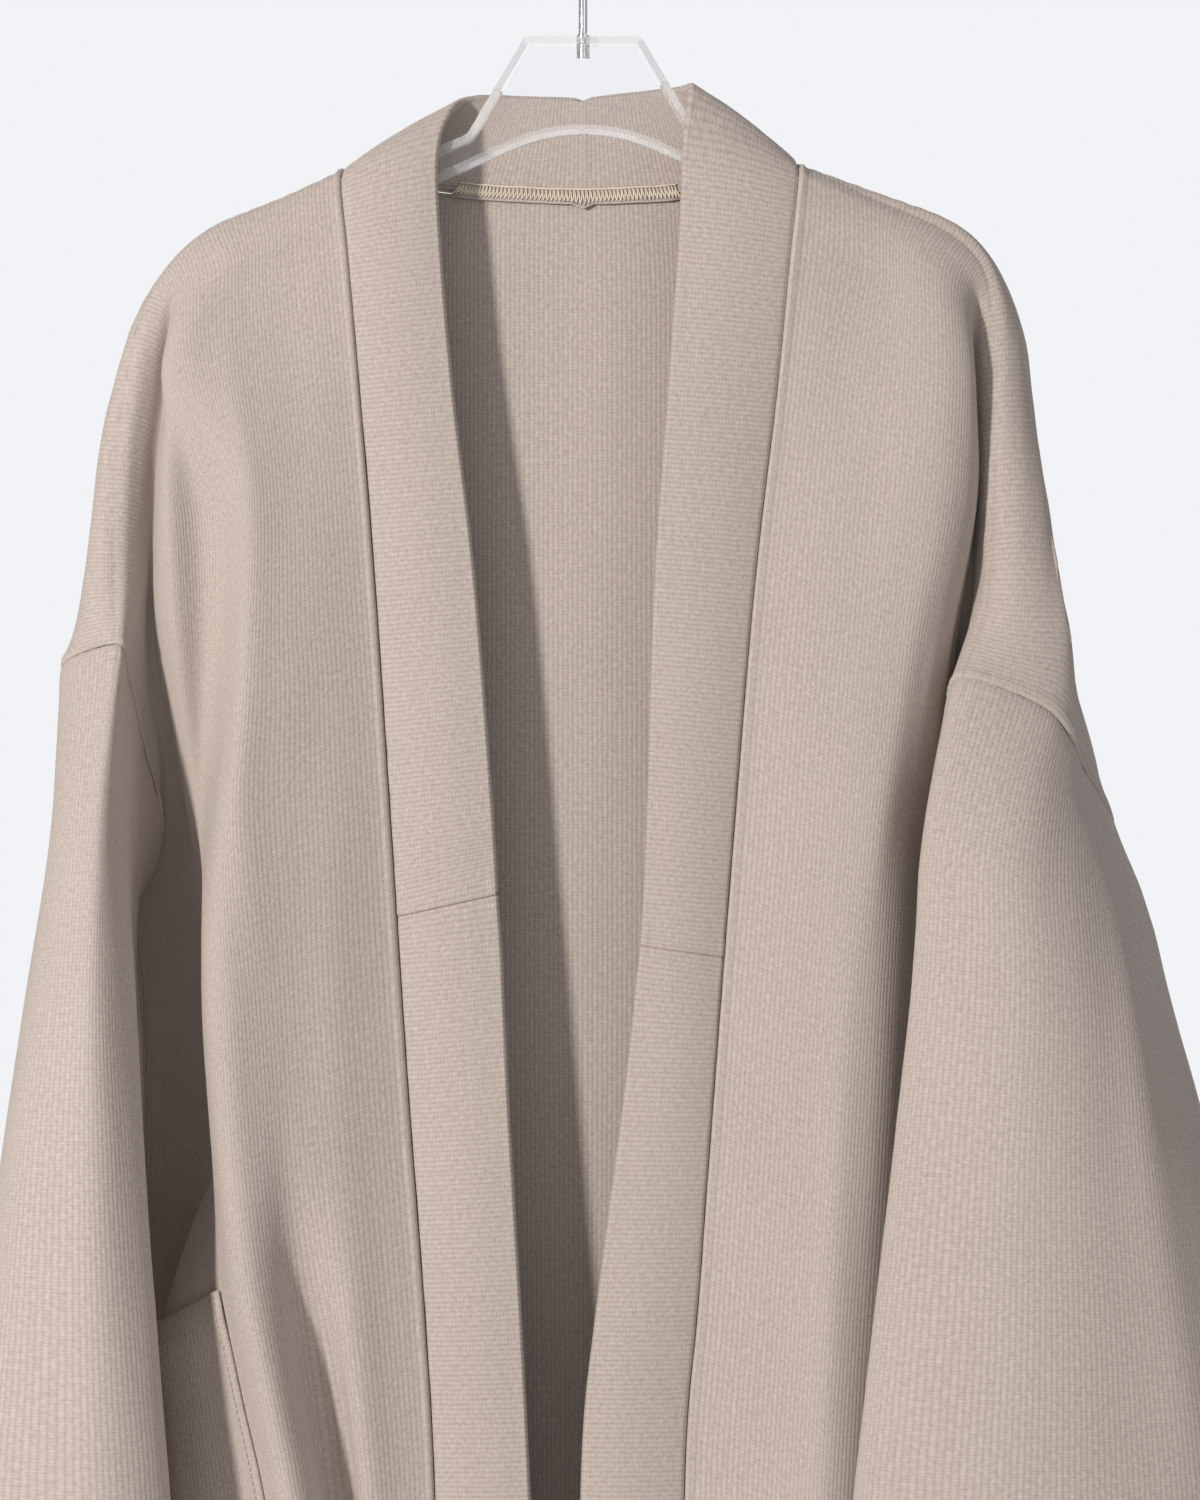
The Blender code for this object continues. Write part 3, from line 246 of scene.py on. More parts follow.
# The front band: the line where it is sewn on and its free edge, from centre back
# round the neck and down the front to the hem.
BAND = {
    "right": (
        # seam x, y, z, edge x, y, z
        (0, 14.5, -161, 0, 18, -110),
        (-52, 14, -158.5, -36, 18, -109),
        (-92, 14, -152.5, -52, 15, -107.5),
        (-108, 10, -148, -61, 9, -109),
        (-118, 0, -145.5, -67, -3, -116),
        (-120.5, -12, -154, -73, -14, -138),
        (-117, -18, -187, -72, -19, -180),
        (-110.5, -18, -262, -65.5, -22, -258),
        (-102.5, -20, -362, -54, -24, -358),
        (-92.5, -21, -514, -43, -25, -507),
        (-86, -22, -612, -38, -26, -608),
        (-78.5, -23, -712, -32, -27, -710),
        (-73, -24, -812, -27, -28, -811),
        (-62, -27, -1127, -13, -31, -1127),
    ),
    "left": (
        (0, 14.5, -161, 0, 18, -110),
        (50, 14, -158.5, 36, 18, -106),
        (84, 14, -150.5, 47, 14, -104),
        (98, 10.5, -146, 53, 9, -103),
        (107, 0, -143, 55, -3, -104),
        (107.5, -12.5, -151, 51, -16, -136),
        (103.5, -18, -187, 49, -20, -180),
        (96, -19, -262, 43.5, -23, -258),
        (84.5, -21, -362, 36.5, -25, -358),
        (72, -22, -514, 31, -26, -510),
        (64.5, -23, -612, 21, -27, -611),
        (57, -24, -712, 8, -28, -712),
        (50, -25, -812, 0, -29, -812),
        (46, -28, -1127, -3, -32, -1127),
    ),
}
NECK_ROWS = 4  # the row of the table at the shoulder seam
NECK_LENGTHS = (0, 52, 93, 110, NECK_HALF)  # along the seam to each of those rows
BAND_BULGE = 3.0
BAND_PLACES = 400  # places at which its height is looked up
# Where the lower band is sewn to the upper one: heights at the seam and at the free edge
BAND_JOIN = {"right": (-519, -508), "left": (-539, -533)}

# Level sections of the sleeves, through the same eight stations as the armhole seam.
# slope is the share of the armhole's own slant that the level keeps.
SLEEVE_STATIONS = ("under", "rear", "outer", "ridge", "fold", "brow", "inner", "heel")
SLEEVE_SECTIONS = {
    "right": (
        # z, slope, then x, y of under, rear, outer, ridge, fold, brow, inner, heel
        (-490, 0.6, -245, 33, -261, 21, -263, -14, -253, -46, -237, -56, -227, -42, -225, -10, -224, 17),
        (-560, 0.3, -249, 39, -269, 27, -274, -20, -260, -62, -240, -76, -221, -58, -226, -16, -225, 18),
        (-640, 0.1, -246, 46, -276, 35, -286, -22, -269, -72, -240, -86, -214, -66, -232, -20, -226, 16),
        (-740, 0.0, -252, 51, -287, 39, -298, -24, -276, -80, -238, -92, -205, -70, -238, -22, -226, 17),
        (-811, 0.0, -256, 53, -293, 41, -306, -24, -281, -84, -236, -95, -199, -72, -240, -24, -227, 17),
        (-872, 0.0, -257, 54, -296, 42, -310, -24, -283, -86, -235, -96, -197, -72, -241, -24, -228, 17),
    ),
    "left": (
        (-490, 0.6, 261, 15, 279, -8, 254, -48, 208, -66, 171, -53, 172, -38, 188, -18, 214, -4),
        (-560, 0.3, 273, 4, 290, -26, 259, -70, 205, -80, 163, -58, 167, -43, 188, -22, 228, -10),
        (-640, 0.1, 286, -11, 307, -42, 262, -80, 200, -84, 153, -60, 159, -45, 186, -26, 234, -17),
        (-740, 0.0, 306, -21, 327, -50, 268, -84, 196, -86, 142, -60, 149, -46, 183, -28, 242, -21),
        (-811, 0.0, 321, -25, 341, -54, 272, -86, 192, -86, 135, -60, 143, -47, 179, -30, 248, -23),
        (-885, 0.0, 331, -27, 351, -56, 276, -86, 190, -86, 131, -60, 140, -48, 177, -30, 252, -25),
    ),
}

# Folds pressed into the fronts: distance from the band at the fold's top and foot, distances
# down the cloth where it starts, is full and starts to fade, its width and its push.
FOLD_FADE = 80.0
FRONT_FOLDS = {
    "right": (
        # name, near, far, top, full, foot, width, push x, push y
        ("valley", 62, 52, 470, 600, 1000, 13, 3, 20),
    ),
    "left": (),
}

# Patch pockets, in the same cloth distances as the front's columns and rows
POCKET_NEAR, POCKET_FAR = 125.0, 280.0
POCKET_TOP, POCKET_FOOT = 527.0, 727.0
POCKET_DROP, POCKET_SLANT = 14.0, 70.0  # its mouth drops outwards, over that distance
POCKET_GAPE = 3.0  # how far its opening stands off

# Steps of the grids: start, end and number of steps
NECK_STEPS = ((0, 93, 4), (93, NECK_HALF, 3))
SHOULDER_STEPS = ((0, POCKET_NEAR, 7), (POCKET_NEAR, POCKET_FAR, 7), (POCKET_FAR, SHOULDER, 1))
# Rows from the shoulder seam to the underarm, as shares of that distance
ARMHOLE_SHARES = (0, 0.025, 0.055, 0.1, 0.16, 0.24, 0.33, 0.43, 0.53, 0.64, 0.76, 0.88, 1)
ARMHOLE_ROWS = len(ARMHOLE_SHARES) - 1
CHEST_ROWS, POCKET_ROWS, HEM_ROWS = 6, 4, 4
SLEEVE_ROWS = 14
BAND_COLUMNS = 3

# The hanger: outline of the flat plate from the neck's middle to the arm's tip and back,
# one half as seen from the front. round is the radius of the corner.
PLATE = 10.0
PLATE_HALF = (
    # x, z, round
    (29, -80, 5),
    (58, -129, 8),
    (70, -134, 20),
    (116, -156, 30),
    (192, -190, 7.4),
    (186, -205.4, 7),
)
PLATE_ARCH = (-120.4, 86)  # where the lower edges of the arms would meet, and its rounding
PLATE_SHARP = 14.0  # an edge of the plate is sharp from this angle, in degrees
BORE_OUT = 2.0  # how far the cutter of the ferrule's bore stands out of the plate
BORE_SIDES = 64  # of the cutter

# The hook: radii of the bend's inside, of the rod and of the ferrule, heights of the
# ferrule's ends, and what its bends are made of
HOOK_INNER = 20.0
ROD = 2.2
FERRULE = 3.0
FERRULE_TOP, FERRULE_FOOT = -79.0, -91.0
HOOK_START, HOOK_END = -52.0, 205.0  # degrees round the bend, from +X
HOOK_STEM = -58.0  # where the rod leaves the upright line
HOOK_EASE = 9.0  # how long the bend between stem and hook takes at each end
HOOK_STEPS, EASE_STEPS = 24, 6
FERRULE_STEP = 0.4  # height of the step from the ferrule to the rod
TIP_ANGLES = (30, 60, 85)  # degrees round the rod's rounded tip
HOOK_SHARP = 50.0  # an edge of it is sharp from this angle, in degrees
ROD_ROUNDNESS = 8
WELD = 0.0001  # its points closer together than this are joined
ARC_STEP = 0.8  # length of the pieces of a rounded corner

# Cloth sizes that only the looks need
SLEEVE_LENGTH = 450.0
BAND_WIDTH = 50.0
RIM_BULGE = 0.45  # roundness of a folded edge, as a share of the cloth's thickness
POCKET_HEM = 18.5
POCKET_GAPE_DEPTH = 45.0  # how far down the mouth's gape reaches
# The pocket's turned-in hem: its height and how that fades, and the groove below it
POCKET_HEM_SHAPE = (0.7, 3.0, 0.5, 1.4)
# The seam allowance inside the back neck: how far it reaches round, its lines across the
# band, how far it sits below them and hangs past the first, how far it lies off the
# band's inside, and its thickness
STRIP_REACH = {"right": 72.0, "left": 52.0}
STRIP_EDGES = (0.6, 2.6, 4.8, 7.0, 9.2)
STRIP_DROP, STRIP_HANG = 4.4, 1.2
STRIP_OFF, STRIP_LIFT = 0.25, 1.2
STRIP_CLOTH = 0.9

# Overlock thread: distance between its crossings, and its radius
OVERLOCK_PITCH, OVERLOCK_RADIUS = 2.0, 0.42
# Topstitching: radius, length of a stitch, distance to the next, heights along a stitch
SEWING_RADIUS = 0.3
SEWING_LENGTH, SEWING_GAP = 2.6, 1.0
SEWING_HEIGHTS = (-0.2, 0.245, 0.35, 0.245, -0.2)
SEWING_IN = 3.5  # distance from the pocket's edges
THREAD_ROUNDNESS = 2

# The plate's chamfers
CHAMFER_WIDE, CHAMFER_DEEP = 4.6, 2.2

# Creases: start and end in the pattern, width and height, which is negative for a dip
CREASES = {
    "front_right": (
        # name, u start, v start, u end, v end, width, height
        ("from the hanger", 95, 60, 60, 420, 9, 1.2),
        ("beside the valley", 105, 330, 70, 900, 12, 2.0),
        ("along the band", 28, 260, 34, 820, 9, 1.5),
        ("valley", 62, 400, 50, 1080, 11, -9.0),
    ),
    "front_left": (
        ("from the hanger", 100, 90, 70, 400, 9, 1.2),
        ("above the armhole", 150, 60, 175, 300, 8, 1.4),
        ("middle", 62, 330, 78, 960, 11, 2.2),
        ("towards the side", 118, 420, 128, 980, 12, 2.4),
    ),
    "sleeve_left": (
        ("outer", -70, 10, -92, 430, 13, 2.4),
        ("front", -150, 30, -158, 430, 12, 2.2),
        ("inner", -225, 60, -236, 440, 12, 1.8),
    ),
    "sleeve_right": (
        ("outer", -120, 20, -128, 430, 10, 2.0),
        ("front", -190, 30, -196, 430, 9, 1.6),
    ),
}

# Knit: width of a rib and of a row of stitches, how far a row climbs across half a rib,
# in rows, how far the lines sway, the relief's depth and strength, and the colours
RIB = 2.4
STITCH = 1.7
CHEVRON = 0.35
KNIT_SWAY = 0.35
KNIT_RELIEF, KNIT_BUMP = 0.35, 0.75
KNIT_LIGHT = (0.575, 0.485, 0.43)
KNIT_DARK = (0.355, 0.297, 0.26)
# The colour of the painted shade in the valleys between ribs and between rows
KNIT_PAINTED_SHADE = (0.19, 0.152, 0.128)
RIB_SHAPE = 2.5  # the higher, the flatter a rib and the narrower the valley beside it
RIB_SHADE, ROW_SHADE = 0.30, 0.15  # how dark the painted shade is between ribs and between rows
HEATHER_SPREAD, HEATHER_START = 1.9, -0.45  # from the grain to the share of the light yarn
PALE_FROM, PALE_SHARE = 0.4, 0.35  # where broad paler patches start, and how pale
RIB_HEIGHT, ROW_HEIGHT, FIBRE_HEIGHT = 0.5, 0.2, 0.8
KNIT_SURFACE = {
    "Specular IOR Level": 0.25,
    "Sheen Weight": 0.35,
    "Sheen Roughness": 0.5,
    "Sheen Tint": (0.95, 0.9, 0.84, 1),
}

# Thread: depth and strength of its twist, and its surface
THREAD_RELIEF, THREAD_BUMP = 0.1, 0.5
THREAD_SURFACE = {"Roughness": 0.7, "Sheen Weight": 0.2}

# Grain of the materials, and how rough they are: the least, and how much the grain adds
GRAINS = {
    # name: scale, detail, roughness
    "sway": (60.0, 2.0, 0.5),
    "fibre": (1100.0, 3.0, 0.65),
    "heather": (420.0, 4.0, 0.7),
    "broad": (9.0, 3.0, 0.5),
    "twist": (900.0, 2.0, 0.5),
    "haze": (60.0, 3.0, 0.5),
    "wear": (350.0, 3.0, 0.5),
}
KNIT_ROUGH = (0.82, 0.12)
CHROME_ROUGH = (0.05, 0.14)
CHROME_TONES = ((0.78, 0.78, 0.79), (0.92, 0.92, 0.93))
ACRYLIC_COLOUR = (0.99, 0.995, 1.0, 1)
ACRYLIC_IOR = 1.49
ACRYLICS = {
    # name: transmission, least rough, how much the grain adds
    "clear_acrylic": (1.0, 0.01, 0.04),
    "acrylic_edge": (0.8, 0.05, 0.04),
}
THREADS = {
    # name: dark and light
    "overlock_thread": ((0.58, 0.49, 0.37), (0.80, 0.71, 0.56)),
    "sewing_thread": ((0.33, 0.27, 0.22), (0.46, 0.39, 0.32)),
}

# Studio, in metres and watts
LIGHTS = (
    # name, place, size, power, colour
    ("key", (-1.85, -2.15, 0.15), 0.28, 80.0, (1.0, 0.98, 0.96)),
    ("fill", (2.2, -2.2, -0.1), 1.8, 6.0, (0.95, 0.97, 1.0)),
    ("rear", (0.4, 3.0, 1.7), 1.4, 26.0, (1.0, 1.0, 1.0)),
)
LIGHT_TARGET = (0, 0, -0.5)
# World: colours behind the coat, before it and to its sides, where the soft edge of the
# bright screen behind lies, and how fast the light falls off towards the sides
WORLD_BEHIND = (0.885, 0.893, 0.915)
WORLD_BEFORE = (0.54, 0.535, 0.54)
WORLD_SIDES = (0.30, 0.31, 0.33)
WORLD_SCREEN_EDGE = (0.90, 0.975)
WORLD_FALL = 2.0
FLOOR_HEIGHT = -1.30
FLOOR_RADIUS = 1.3
FLOOR_SIDES = 96
FLOOR_COLOUR = (0.8, 0.8, 0.79, 1)
FLOOR_ROUGH = 0.8

# Fineness of the cloth: places within one step of the coarse grid
EVEN = (0.25, 0.5, 0.75)
NEAR_FIRST = (0.035, 0.08, 0.13, 0.18, 0.23, 0.32, 0.5, 0.75)
NEAR_LAST = tuple(1 - share for share in reversed(NEAR_FIRST))
# Lines over which an edge's move to its neighbour fades
DRAWN_LINES = {"back": 8, "sleeve": 10, "band": 7}

# Seams: how deep and wide the cloth is drawn in there, and the height, place and width
# of the ridge beside it, where it lies over the seam's allowance
SEAM_SHAPES = {
    # name: dip, dip width, rise, rise at, rise width
    "plain": (0.6, 1.2, 0.3, 6.0, 3.0),
    "welt": (1.0, 0.7, 0.85, 2.2, 1.5),
    "rolled": (0.9, 1.3, 0.8, 3.4, 2.2),
    "under": (1.0, 1.1, 0.15, 6.0, 3.0),
    "over": (0.2, 0.6, 0.5, 2.4, 2.6),
    "fine": (0.25, 0.6, 0.1, 5.0, 3.0),
    "patch": (0.5, 1.5, 0.5, 5.0, 3.0),
}
SEAMS = {
    # piece: its sewn edges, each with its shape
    "back": {"top": "plain", "near": "rolled", "far": "rolled"},
    "front": {"top": "plain", "near": "welt", "far": "rolled"},
    "sleeve": {"top": "under"},
    "band_upper": {"near": "under", "foot": "over", "top": "fine"},
    "band_lower": {"near": "under", "top": "under"},
    "pocket": {"near": "patch", "far": "patch", "foot": "patch"},
}
FREE_EDGES = {
    "back": ("foot",),
    "front": ("foot",),
    "sleeve": ("foot",),
    "band_upper": ("far",),
    "band_lower": ("far", "foot"),
    "pocket": ("top", "near", "far", "foot"),
}
# Puckers along seams: height, length of one, where they are highest and how far they reach
PUCKER = 0.22
PUCKER_LENGTH = 8.0
PUCKER_AT, PUCKER_REACH = 4.0, 8.0
PUCKER_SWAY, PUCKER_SWAY_LENGTH = 1.7, 23.0

# Soft unevenness of hanging cloth: height, length across and length down
WAVES = ((1.7, 52, 270), (0.6, 20, 90), (0.12, 7, 11))
BAND_WAVES = 0.5  # how much of that a band has
WAVE_FADE = 40.0  # the distance from a seam at which it is in full
WAVE_SEED = 3.7  # each piece's waves are read this much further on in the noise
CREASE_FADE = 0.3  # the share of a crease's length over which each end fades
HEM = 25.0  # from the hem's fold to its stitches


def curve(stations, values, at):
    """A smooth line through values at increasing stations, read at other places."""
    stations = np.asarray(stations, float)
    values = np.asarray(values, float)
    at = np.clip(np.asarray(at, float), stations[0], stations[-1])
    if values.ndim == 1:
        return curve(stations, values[:, None], at)[..., 0]
    step = np.diff(stations)
    slope = np.diff(values, axis=0) / step[:, None]
    tangent = np.empty_like(values)
    tangent[0] = slope[0]
    tangent[-1] = slope[-1]
    tangent[1:-1] = (slope[:-1] * step[1:, None] + slope[1:] * step[:-1, None]) / (
        step[1:] + step[:-1]
    )[:, None]
    i = np.clip(np.searchsorted(stations, at, side="right") - 1, 0, len(step) - 1)
    u = ((at - stations[i]) / step[i])[..., None]
    h = step[i][..., None]
    return (
        values[i] * (2 * u**3 - 3 * u**2 + 1)
        + values[i + 1] * (3 * u**2 - 2 * u**3)
        + h * tangent[i] * (u**3 - 2 * u**2 + u)
        + h * tangent[i + 1] * (u**3 - u**2)
    )


def ease(share):
    share = np.clip(share, 0, 1)
    return share * share * (3 - 2 * share)


def bell(away, width):
    """A rounded hump of height one, gone at about twice its width."""
    return np.exp(-((away / width) ** 2))


def unit(vectors):
    return vectors / np.linalg.norm(vectors, axis=-1, keepdims=True)


def between(values, place):
    """An array read between two of its entries."""
    i = min(int(place), len(values) - 2)
    return values[i] + (values[i + 1] - values[i]) * (place - i)


def run_along(points):
    """Distances along a line of points, from its first one."""
    return np.concatenate([[0], np.cumsum(np.linalg.norm(np.diff(points, axis=0), axis=1))])


def read_line(places, run, points):
    """Points of a line at other distances along it."""
    return np.column_stack([np.interp(places, run, points[:, k]) for k in range(3)])


def read_table(table, at, sign=1):
    """The other columns of a table at a value of its first, which falls if sign is -1."""
    return curve([sign * row[0] for row in table], [row[1:] for row in table], sign * at)


def section_point(sections, column, z):
    """x and y of one column of a table of level sections, at height z."""
    return read_table(sections, z, -1)[2 * column : 2 * column + 2]


def spaced(steps):
    """Places along a line, from rows of start, end and number of steps."""
    places = [float(steps[0][0])]
    for start, end, count in steps:
        places += [start + (end - start) * (k + 1) / count for k in range(count)]
    return np.array(places)


def neck_reaches():
    """Distances from centre back of the neck's columns, short of the shoulder seam."""
    return spaced(NECK_STEPS)[:-1]


def row_places(start, foot, along=0.0):
    """Cloth distances of a panel's rows, from the shoulder seam to the hem."""
    mouth = POCKET_TOP + POCKET_DROP * ease((along - POCKET_NEAR) / POCKET_SLANT)
    below = spaced(
        (
            (ARMHOLE, mouth, CHEST_ROWS),
            (mouth, POCKET_FOOT, POCKET_ROWS),
            (POCKET_FOOT, foot, HEM_ROWS),
        )
    )
    above = start + (ARMHOLE - start) * np.array(ARMHOLE_SHARES)
    return np.concatenate([above, below[1:]])


def over_shoulder(side, along, across, hang):
    """The cloth at a distance along the shoulder and across it from the ridge.

    across is positive down the front and negative down the back, and hang gives the
    place of the hanging cloth at a height. The cloth beyond the hanger hangs as far
    below the hanger's end as its own length lets it.
    """
    row = read_table(RIDGE[side], along)
    ridge, turn, radius = row[:3], math.radians(row[4]), row[5]
    past_arm = max(along - ARM_REACH, 0)
    beyond = math.hypot(past_arm, ROLL)
    z = ridge[2] + beyond - math.hypot(beyond, across)
    share = ease(abs(across) / (REACH_SHARE * beyond + REACH_LEAST))
    bend = np.clip(across / radius, -BACK_MOST, TURN_MOST[side])
    ahead = np.array((math.cos(turn), math.sin(turn)))
    inward = SIDES[side] * np.array((-math.sin(turn), math.cos(turn)))
    inward *= min(past_arm / TURN_FULL, 1) * (1 if across > 0 else BACK_TURN)
    leave = radius * (math.sin(bend) * ahead + (1 - math.cos(bend)) * inward)
    rest = max(across - TURN_MOST[side] * radius, 0)
    run = TURN_RUN[side] * (1 - math.exp(-rest / TURN_RUN[side])) * min(past_arm / TURN_FULL, 1)
    leave += run * (math.cos(bend) * ahead + math.sin(bend) * inward)
    x, y = ridge[:2] + leave * (1 - share) + (hang(z) - ridge[:2]) * share
    return np.array((x, y, z))


def seam_offset(side, along):
    """How far in front of the ridge the shoulder seam lies."""
    return float(read_table(RIDGE[side], along)[3])


def side_edge(side, across):
    """The armhole seam down to the underarm, then the side seam."""
    loop = ARMHOLE_SEAM[side]
    if abs(across) <= ARMHOLE:
        return read_table([row[1:] for row in loop], across)
    beyond = SHOULDER - ARM_REACH
    under = loop[0][4]
    z = under - math.hypot(beyond, across) + math.hypot(beyond, ARMHOLE)
    x, y = read_table(SIDE_SEAM[side], z, -1)
    return np.array((x, y, z))


def band_lines(side, at):
    """The band's seam and its free edge, at places given in rows of its table."""
    table = np.array(BAND[side], float)
    both = curve(np.arange(len(table)), table, at)
    return both[..., :3], both[..., 3:]


def band_place(side, z):
    """The place in the band's table where its seam passes a height, on the front."""
    fine = np.linspace(NECK_ROWS, len(BAND[side]) - 1, BAND_PLACES)
    heights = band_lines(side, fine)[0][:, 2]
    return np.interp(-z, -heights, fine)


def neck_place(reach):
    """The place in the band's table, by distance from centre back."""
    return float(curve(NECK_LENGTHS, range(NECK_ROWS + 1), reach))


def front_edge_height(side, across):
    return BAND[side][NECK_ROWS][2] + ROLL - math.hypot(ROLL, max(across, 0))


def fold_push(side, along, across):
    """How far the folds of the table move a point of the front, in x and y."""
    push = np.zeros(2)
    for _, near, far, top, full, foot, width, push_x, push_y in FRONT_FOLDS[side]:
        down = np.clip((across - top) / (foot - top), 0, 1)
        centre = near + (far - near) * down
        depth = ease((across - top) / (full - top)) * (1 - ease((across - foot) / FOLD_FADE))
        push += np.array((push_x, push_y)) * depth * bell(along - centre, width)
    return push


def front_point(side, along, across):
    """A point of a front panel, from cloth distances."""
    place = band_place(side, front_edge_height(side, across))
    row = [band_lines(side, place)[0]]
    for column, reach in enumerate(FRONT_COLUMNS[1:-1]):

        def hang(z, column=column):
            return section_point(FRONT_SECTIONS[side], column, z)

        row.append(over_shoulder(side, reach, across, hang))
    row.append(side_edge(side, across))
    point = curve(FRONT_COLUMNS, row, along)
    point[:2] += fold_push(side, along, across)
    return point


def front_grid(side):
    """Points of a front panel: rows from the shoulder seam down, columns from the band."""
    columns = []
    for along in spaced(SHOULDER_STEPS):
        places = row_places(seam_offset(side, along), LENGTH - SHOULDER_SLOPE * along, along)
        columns.append([front_point(side, along, across) for across in places])
    return np.array(columns).transpose(1, 0, 2)


def back_point(side, reach, row):
    """A point of half the back, by distance from its centre line and number of row."""
    points = []
    for k, column in enumerate(BACK_COLUMNS):
        along = max(column - NECK_HALF, 0)
        foot = LENGTH - SHOULDER_SLOPE * along
        down = row_places(-seam_offset(side, along), foot, along)[row]

        def hang(z, k=k):
            if k == 0:
                return np.array((0.0, *read_table(BACK_MIDDLE, z, -1)))
            return section_point(BACK_SECTIONS[side], k - 1, z)

        if column == BACK_COLUMNS[-1]:
            points.append(side_edge(side, -down))
        elif column < NECK_HALF:
            down = max(down, 0)
            top = band_lines(side, neck_place(column))[0]
            z = top[2] + ROLL - math.hypot(ROLL, down)
            share = ease(down / NECK_FALL)
            x, y = top[:2] + (hang(z) - top[:2]) * share
            points.append(np.array((x, y, z)))
        else:
            points.append(over_shoulder(side, along, -down, hang))
    return curve(BACK_COLUMNS, points, reach)


def back_grid(fronts):
    """Points of the whole back, from the wearer's right side seam to the left."""
    shoulder = NECK_HALF + spaced(SHOULDER_STEPS)
    reaches = np.concatenate([neck_reaches(), shoulder])
    rows = fronts["right"].shape[0]
    halves = {}
    for side in SIDES:
        half = np.array([[back_point(side, r, i) for r in reaches] for i in range(rows)])
        # The top edge is drawn to the band's neck seam and to the front's shoulder seam.
        neck = [band_lines(side, neck_place(r))[0] for r in neck_reaches()]
        missing = np.concatenate([neck, fronts[side][0]]) - half[0]
        for i in range(JOIN_ROWS):
            half[i] += missing * (1 - i / JOIN_ROWS)
        halves[side] = half
    middle = (halves["right"][:, :1] + halves["left"][:, :1]) / 2
    return np.concatenate([halves["right"][:, :0:-1], middle, halves["left"][:, 1:]], axis=1)


def armhole_loop(side, front, back):
    """The armhole's points, from the underarm up the back, over and down the front."""
    rear = back[ARMHOLE_ROWS::-1, BACK_EDGES[side][0]]
    return np.concatenate([rear, front[1:ARMHOLE_ROWS, -1]])


def armhole_stations(side):
    """The distances of the armhole's points round it, in the loop's order."""
    start = seam_offset(side, SHOULDER)
    shares = np.array(ARMHOLE_SHARES)
    rear = start - (ARMHOLE + start) * shares[::-1]
    return np.concatenate([rear, start + (ARMHOLE - start) * shares[1:-1]])


def three_rounds(stations):
    """Distances round the armhole, with those of the rounds before and after."""
    return np.concatenate([stations - 2 * ARMHOLE, stations, stations + 2 * ARMHOLE])


def sleeve_grid(side, loop):
    """Points of a sleeve: rings from the armhole seam down to the cuff."""
    middle = loop[:, 2].mean()
    stations_at = {row[0]: row[1] for row in reversed(ARMHOLE_SEAM[side])}
    places = np.array([stations_at[name] for name in SLEEVE_STATIONS], float)
    levels, depth = [loop], [0.0]
    for z, slope, *stations in SLEEVE_SECTIONS[side]:
        points = np.array(stations * 3, float).reshape(-1, 2)
        ring = curve(three_rounds(places), points, armhole_stations(side))
        height = z + slope * (loop[:, 2] - middle)
        levels.append(np.column_stack([ring, height]))
        depth.append(middle - z)
    levels = np.array(levels).reshape(len(levels), -1)
    rows = [curve(depth, levels, depth[-1] * i / SLEEVE_ROWS) for i in range(SLEEVE_ROWS + 1)]
    return np.array(rows).reshape(SLEEVE_ROWS + 1, -1, 3)


def band_outline(side, fronts, back):
    """The seam and the free edge of half the band, round the neck and down a front."""
    centre = back.shape[1] // 2
    at = [neck_place(r) for r in neck_reaches()]
    seam = [back[0, centre - SIDES[side] * k] for k in range(len(at))]
    for point in fronts[side][:, 0]:
        seam.append(point)
        at.append(band_place(side, point[2]))
    edge = band_lines(side, np.array(at))[1]
    return np.array(seam), edge


def split_band(side, seam, edge):
    """Puts a row in at the seam between upper and lower band; returns its number."""
    seam_z, edge_z = BAND_JOIN[side]
    row = int(np.argmax(seam[:, 2] < seam_z))
    lines = []
    for line, z in ((seam, seam_z), (edge, edge_z)):
        share = (z - line[row - 1, 2]) / (line[row, 2] - line[row - 1, 2])
        point = line[row - 1] + (line[row] - line[row - 1]) * share
        lines.append(np.insert(line, row, point, axis=0))
    return lines[0], lines[1], row


def crown_band(side, seam, edge):
    """The band's surface between its seam and its free edge, slightly rounded."""
    along = np.gradient(seam, axis=0)
    outward = SIDES[side] * unit(np.cross(along, edge - seam))
    shares = np.linspace(0, 1, BAND_COLUMNS + 1)
    grid = [
        seam + (edge - seam) * share + outward * BAND_BULGE * math.sin(math.pi * share)
        for share in shares
    ]
    return np.array(grid).transpose(1, 0, 2)


def fine_index(count, first=EVEN, last=EVEN, special=None):
    """Places along a coarse grid's numbers, with more of them in chosen steps."""
    inside = {0: first, count - 2: last, **(special or {})}
    places = []
    for i in range(count - 1):
        places += [i] + [i + share for share in inside.get(i, EVEN)]
    return np.array(places + [count - 1], float)


def line_number(places, place):
    """The number of the first line of a grid that isn't before a place."""
    return int(np.searchsorted(places, place - TINY))


def along_rows(stations, grid, places):
    """A grid read along its rows at other places, given in row numbers."""
    at = np.interp(places, np.arange(len(stations)), stations)
    flat = curve(stations, grid.reshape(len(grid), -1), at)
    return flat.reshape(len(at), *grid.shape[1:]), at


def refine(grid, row_stations, column_stations, rows, columns):
    """The finer grid through a coarse one, with the cloth distances of its lines."""
    fine, down = along_rows(row_stations, grid, rows)
    fine, across = along_rows(column_stations, fine.transpose(1, 0, 2), columns)
    return fine.transpose(1, 0, 2), down, across


def draw_edge(grid, target, kind, edge):
    """Draws one edge of a grid to other points; the move fades over some lines."""
    lines = grid if edge in ("top", "foot") else grid.transpose(1, 0, 2)
    if edge in ("foot", "far"):
        lines = lines[::-1]
    move = target - lines[0]
    reach = DRAWN_LINES[kind]
    for i in range(min(reach, len(lines))):
        lines[i] += move * (1 - i / reach)


